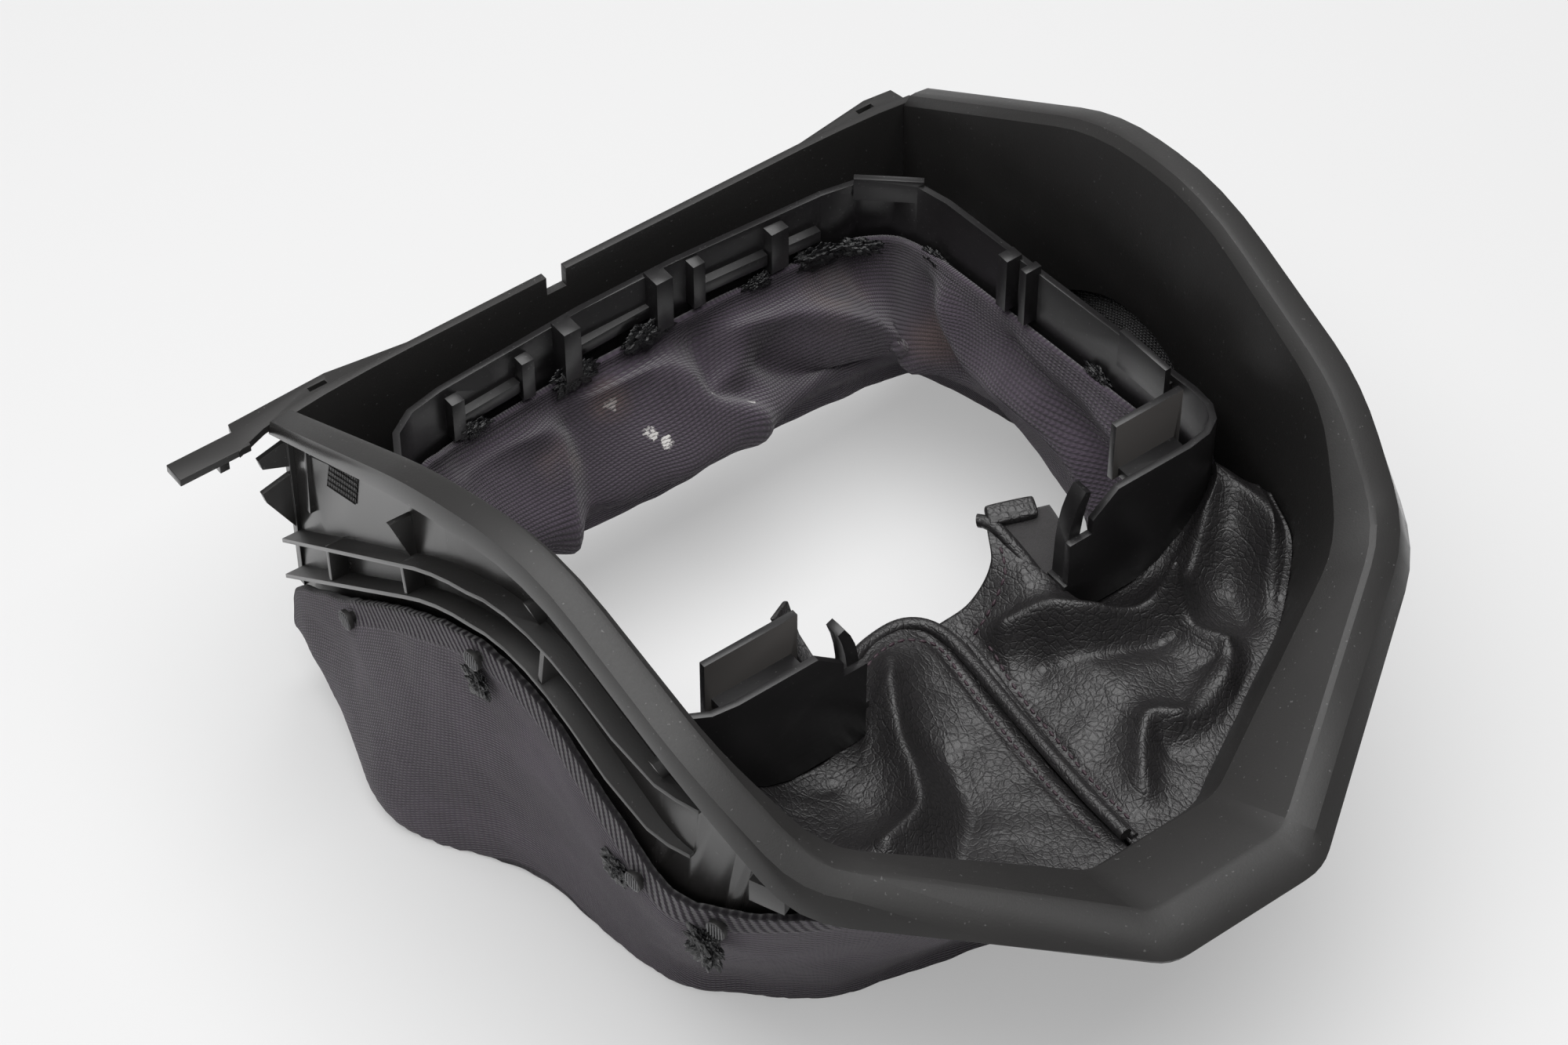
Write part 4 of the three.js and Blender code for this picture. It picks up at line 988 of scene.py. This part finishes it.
class COVER_OT_piping(bpy.types.Operator):
    """Piping on the seam and binding along the free edge."""

    bl_idname = "cover.piping"
    bl_label = "Piping"

    def execute(self, context):
        bead = PIPING_HEM + [(MIDDLE + seam_bow(y) - 0.6, y) for y in range(-22, -96, -4)]
        main = smoothed_on_leather(bead, 1.2)
        second = smoothed_on_leather([(x + 3.2, y) for x, y in bead[8:]], 0.2)
        beads = [add_cord("piping_bead", main, 1.85), add_cord("piping_edge", second, 1.25)]
        piping = joined_pieces(beads, "seam_piping")
        dressed(piping, "pebbled_leather", ["apron_seam_piping"])
        binding = add_cord("hem_binding", BINDING, 1.9)
        dressed(binding, "pebbled_leather", ["apron_hem_binding"])
        return {"FINISHED"}


class COVER_OT_trim(bpy.types.Operator):
    """Leather tab on the left and felt patch on the right."""

    bl_idname = "cover.trim"
    bl_label = "Tab and patch"

    def execute(self, context):
        tab = moulding("apron_tab_left", "leather_tab", 0.45, 50)
        dressed(tab, "pebbled_leather", ["apron_tab_left"])
        fold = add_block((42.6, -2.6, 88.3), (14, 6.4, 3.6), (0.3, -0.05, -0.4))
        fold.name = "patch_fold"
        modify(fold, "BEVEL", width=1.2 * MM, segments=2)
        modify(fold, "SUBSURF", levels=2, render_levels=2)
        only(fold)
        bpy.ops.object.shade_smooth()
        dressed(fold, "pebbled_leather")
        corners = np.array(PATCH_CORNERS, float)
        u, v = np.meshgrid(np.linspace(0, 1, 12), np.linspace(0, 1, 30), indexing="ij")
        u, v = u[..., None], v[..., None]
        across = corners[0, 0] * (1 - u) + corners[1, 0] * u
        grid = across * (1 - v) + (corners[0, 1] * (1 - u) + corners[1, 1] * u) * v
        grid[..., 2] += 0.5 * wrinkle(grid, 7, 4.0)
        patch = add_sheet("felt_patch", grid[:, ::-1], False, cloth_spread(grid, False), 1.2)
        dressed(patch, "grey_felt", ["felt_patch_right"])
        return {"FINISHED"}


def add_stitch(start, end, radius):
    """One stitch: a round thread, thick in the middle, between two points in millimetres."""
    a, b = Vector(start) * MM, Vector(end) * MM
    along = b - a
    select_none()
    bpy.ops.mesh.primitive_uv_sphere_add(segments=8, ring_count=5, radius=1)
    piece = bpy.context.object
    piece.scale = (radius * MM, radius * MM, 0.5 * along.length)
    piece.rotation_mode = "QUATERNION"
    piece.rotation_quaternion = along.to_track_quat("Z", "Y")
    piece.location = (a + b) / 2
    return placed(piece)


def stitch_row(points, step, share=0.72):
    """Start and end of each stitch along a line of points laid on the leather."""
    points = np.array(points, float)
    length = np.concatenate([[0], np.cumsum(np.linalg.norm(np.diff(points, axis=0), axis=1))])
    starts = np.arange(0.5, length[-1] - step, step)

    def at(s):
        return tuple(np.interp(s, length, points[:, k]) for k in range(3))

    return [(at(s), at(s + share * step)) for s in starts]


class COVER_OT_stitches(bpy.types.Operator):
    """Rows of stitches beside the seam and along the free edge."""

    bl_idname = "cover.stitches"
    bl_label = "Stitches"

    def execute(self, context):
        step = context.scene.cover_sizes.stitch_step
        seam = [(MIDDLE + seam_bow(y), y) for y in np.linspace(-24, -91, 40)]
        inside = [
            (x - 3.4 * rise(x, -6, 9), y - 5.2 + 3.2 * rise(x, 9, 12.4)) for x, y in PIPING_HEM[1:]
        ]
        left, right = [(x - 4.6, y) for x, y in seam], [(x + 5.4, y) for x, y in seam]
        lift = (0, 0, 0.12)
        pieces = []
        for row in (inside + left, right, PATCH_STITCHES):
            for start, end in stitch_row(on_leather([(x, y, 66) for x, y in row]), step):
                pieces.append(add_stitch(np.add(start, lift), np.add(end, lift), 0.42))
        stitches = joined_pieces(pieces, "apron_stitches")
        bpy.ops.object.shade_smooth()
        dressed(stitches, "thread")
        return {"FINISHED"}


# Melted spots where the gaiter is welded to the collar: place, width along the collar, height, and
# how far the collar's wall is turned there from its back, in radians
WELD_SPOTS = [
    ((-50, 116.6, 79.5), 7, 4, 0.0),
    ((-16, 117.4, 78.5), 10, 7, 0.0),
    ((9.5, 118.2, 78.5), 10, 7, 0.0),
    ((50, 118.8, 76.5), 8, 3.4, 0.0),
    ((69, 116.6, 76.5), 11, 6, 0.2),
    ((80, 112.6, 77.0), 9, 4.5, 0.6),
    ((94.6, 95.5, 77.0), 7, 4, 1.45),
    ((95.6, 24.6, 85.5), 7, 4, 1.57),
]


# Height and fineness of each layer of a melted lump's unevenness
MELT_SWELLS = [(0.6, 1), (0.34, 2.3), (0.1, 5)]


def add_melt(name, centre, size, turn, seed):
    """A squashed lump with the folds and strings of plastic that has melted and set."""
    select_none()
    bpy.ops.mesh.primitive_ico_sphere_add(subdivisions=5, radius=0.5)
    lump = bpy.context.object
    lump.name = name
    for vertex in lump.data.vertices:
        place = vertex.co * 5 + Vector((seed, 0, 0))
        swell = 1 + sum(share * noise.noise(place * fine) for share, fine in MELT_SWELLS)
        vertex.co = vertex.co * max(0.4, swell)
    lump.scale = [s * MM for s in size]
    lump.rotation_euler = (0, 0, turn)
    lump.location = Vector(centre) * MM
    placed(lump)
    bpy.ops.object.shade_smooth()
    return lump


class COVER_OT_melted(bpy.types.Operator):
    """Melted spots along the collar and over the stakes."""

    bl_idname = "cover.melted"
    bl_label = "Melted plastic"

    def execute(self, context):
        lumps = [
            add_melt("weld", centre, (1.35 * width, 3.0, 1.25 * height), -turn, 3.7 * k)
            for k, (centre, width, height, turn) in enumerate(WELD_SPOTS)
        ]
        dressed(joined_pieces(lumps, "weld_spots"), "melted_lumps")
        for k, name in enumerate(("rear", "middle", "front")):
            low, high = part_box("melted_dab_" + name)
            centre, size = (low + high) / 2 / MM, (high - low) / MM
            spread = (1.4 * size.x, 1.15 * size.y, 1.15 * size.z)
            lump = add_melt("stake_melt_" + name, centre, spread, 0.0, 11.3 + k)
            dressed(lump, "melted_lumps", ["melted_dab_" + name])
        return {"FINISHED"}


# Heat stakes' heads: x from the mirror plane, y, z, and the way that they face in plan
STAKE_HEADS = [
    ((99.1, -51.4, 61.7), (0.96, -0.29)),
    ((108.2, -28.5, 65.4), (1, -0.07)),
    ((114.1, 32.3, 98.8), (1, -0.08)),
    ((114.2, 96.8, 56.5), (1, 0.04)),
]
STAKE_RIDGE_STEPS = (-2.2, -1.3, -0.45, 0.45, 1.3, 2.2)
STAKE_RADIUS = 2.9


class COVER_OT_stakes(bpy.types.Operator):
    """Fine ridges pressed into the heads of the heat stakes."""

    bl_idname = "cover.stakes"
    bl_label = "Stake heads"

    def execute(self, context):
        surface = surface_of("surround_shell")
        bars = []
        for side in (-1, 1):
            for (x, y, z), (u, v) in STAKE_HEADS:
                out = Vector((side * u, v, 0)).normalized()
                place = Vector((MIDDLE + side * x, y, z))
                top = surface.ray_cast((place + 15 * out) * MM, -out)[0]
                if top is None:
                    raise RuntimeError("a stake's head isn't on the surround")
                place = top / MM
                for step in STAKE_RIDGE_STEPS:
                    half = 0.84 * math.sqrt(STAKE_RADIUS**2 - step**2)
                    centre = place + Vector((-out.y, out.x, 0)) * step
                    turn = (0, 0, math.atan2(v, side * u))
                    bars.append(add_block(centre, (0.7, 0.4, 2 * half), turn))
        heads = joined_pieces(bars, "stake_ridges")
        modify(heads, "BEVEL", width=0.1 * MM, segments=1)
        dressed(heads, "stake_grey")
        return {"FINISHED"}


# Lights: name, place, what they aim at, side and power
LIGHTS = [
    ("overhead", (-0.1, 0.0, 1.3), (0, 0, 0.05), 1.5, 30.0),
    ("left", (-1.4, -0.1, 0.5), (0, 0, 0.06), 1.0, 2.6),
    ("right_back", (1.0, 0.9, 0.6), (0, 0, 0.08), 0.6, 1.4),
]

# The photograph's view: angles in degrees, lens and place in millimetres, x from the mirror plane
CAMERA_AZIMUTH, CAMERA_ELEVATION = -37, 47
CAMERA_LENS = 97.2
CAMERA_PLACE = (-476.92, -581.66, 910.52)

# How much of the floor's colour the camera sees, and its even glow
FLOOR_SHARE, FLOOR_GLOW = 0.48, 0.34


class COVER_OT_stage(bpy.types.Operator):
    """Floor, lights and camera."""

    bl_idname = "cover.stage"
    bl_label = "Stage"

    def execute(self, context):
        look = context.scene.cover_looks
        select_none()
        bpy.ops.mesh.primitive_plane_add(size=12, location=(0, 0, -0.0002))
        floor = context.object
        floor.name = "studio_floor"
        finish = Finish("studio_floor")
        seen = finish.node("ShaderNodeLightPath", out="Is Camera Ray")
        finish.set(
            Base_Color=finish.mixed(seen, shade(look.floor), shade(look.floor, FLOOR_SHARE)),
            Emission_Color=finish.mixed(seen, grey(0.0), grey(FLOOR_GLOW)),
            Emission_Strength=1.0,
            Roughness=0.9,
            Specular_IOR_Level=0.1,
        )
        floor.data.materials.append(finish.material)
        world = bpy.data.worlds.new("studio")
        world.use_nodes = True
        world.node_tree.nodes["Background"].inputs[0].default_value = (1, 1, 1, 1)
        world.node_tree.nodes["Background"].inputs[1].default_value = 0.2
        context.scene.world = world
        for light in LIGHTS:
            add_light(*light)
        add_camera()
        context.scene.view_settings.view_transform = "Standard"
        return {"FINISHED"}


def add_light(name, place, aim, size, power):
    data = bpy.data.lights.new(name, "AREA")
    data.shape = "SQUARE"
    data.size = size
    data.energy = power
    light = linked(name, data)
    light.location = place
    light.rotation_euler = (Vector(aim) - Vector(place)).to_track_quat("-Z", "Y").to_euler()


def add_camera():
    """The camera at the photograph's angle, level, with its lens."""
    azimuth, elevation = math.radians(CAMERA_AZIMUTH), math.radians(CAMERA_ELEVATION)
    data = bpy.data.cameras.new("camera")
    data.sensor_width = 36.0
    data.lens = CAMERA_LENS
    data.clip_start, data.clip_end = 0.05, 20
    camera = linked("camera", data)
    level = Vector((math.sin(azimuth), -math.cos(azimuth), 0))
    back = level * math.cos(elevation) + Vector((0, 0, math.sin(elevation)))
    across = Vector((math.cos(azimuth), math.sin(azimuth), 0))
    turn = Matrix((across, back.cross(across), back)).transposed()
    place = (Vector(CAMERA_PLACE) + Vector((MIDDLE, 0, 0))) * MM
    camera.matrix_world = Matrix.Translation(place) @ turn.to_4x4()
    bpy.context.scene.camera = camera


class COVER_PT_panel(bpy.types.Panel):
    """Everything that makes the cover."""

    bl_label = "Column cover"
    bl_idname = "COVER_PT_panel"
    bl_space_type = "VIEW_3D"
    bl_region_type = "UI"
    bl_category = "Column Cover"

    def draw(self, context):
        for group in (context.scene.cover_looks, context.scene.cover_sizes):
            for name in group.__annotations__:
                self.layout.prop(group, name)
        for operator in OPERATORS:
            self.layout.operator(operator.bl_idname)


OPERATORS = [
    COVER_OT_mouldings,
    COVER_OT_waffle,
    COVER_OT_gaiter,
    COVER_OT_apron,
    COVER_OT_piping,
    COVER_OT_trim,
    COVER_OT_stitches,
    COVER_OT_melted,
    COVER_OT_stakes,
    COVER_OT_stage,
]
CLASSES = [CoverLooks, CoverSizes, *OPERATORS, COVER_PT_panel]


def register():
    for item in CLASSES:
        bpy.utils.register_class(item)
    bpy.types.Scene.cover_looks = bpy.props.PointerProperty(type=CoverLooks)
    bpy.types.Scene.cover_sizes = bpy.props.PointerProperty(type=CoverSizes)


def unregister():
    del bpy.types.Scene.cover_sizes
    del bpy.types.Scene.cover_looks
    for item in reversed(CLASSES):
        bpy.utils.unregister_class(item)


def main():
    register()
    bpy.ops.cover.stage()
    bpy.ops.cover.mouldings()
    bpy.ops.cover.waffle()
    bpy.ops.cover.gaiter()
    bpy.ops.cover.apron()
    bpy.ops.cover.piping()
    bpy.ops.cover.trim()
    bpy.ops.cover.stitches()
    bpy.ops.cover.melted()
    bpy.ops.cover.stakes()
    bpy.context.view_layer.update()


if __name__ == "__main__":
    main()
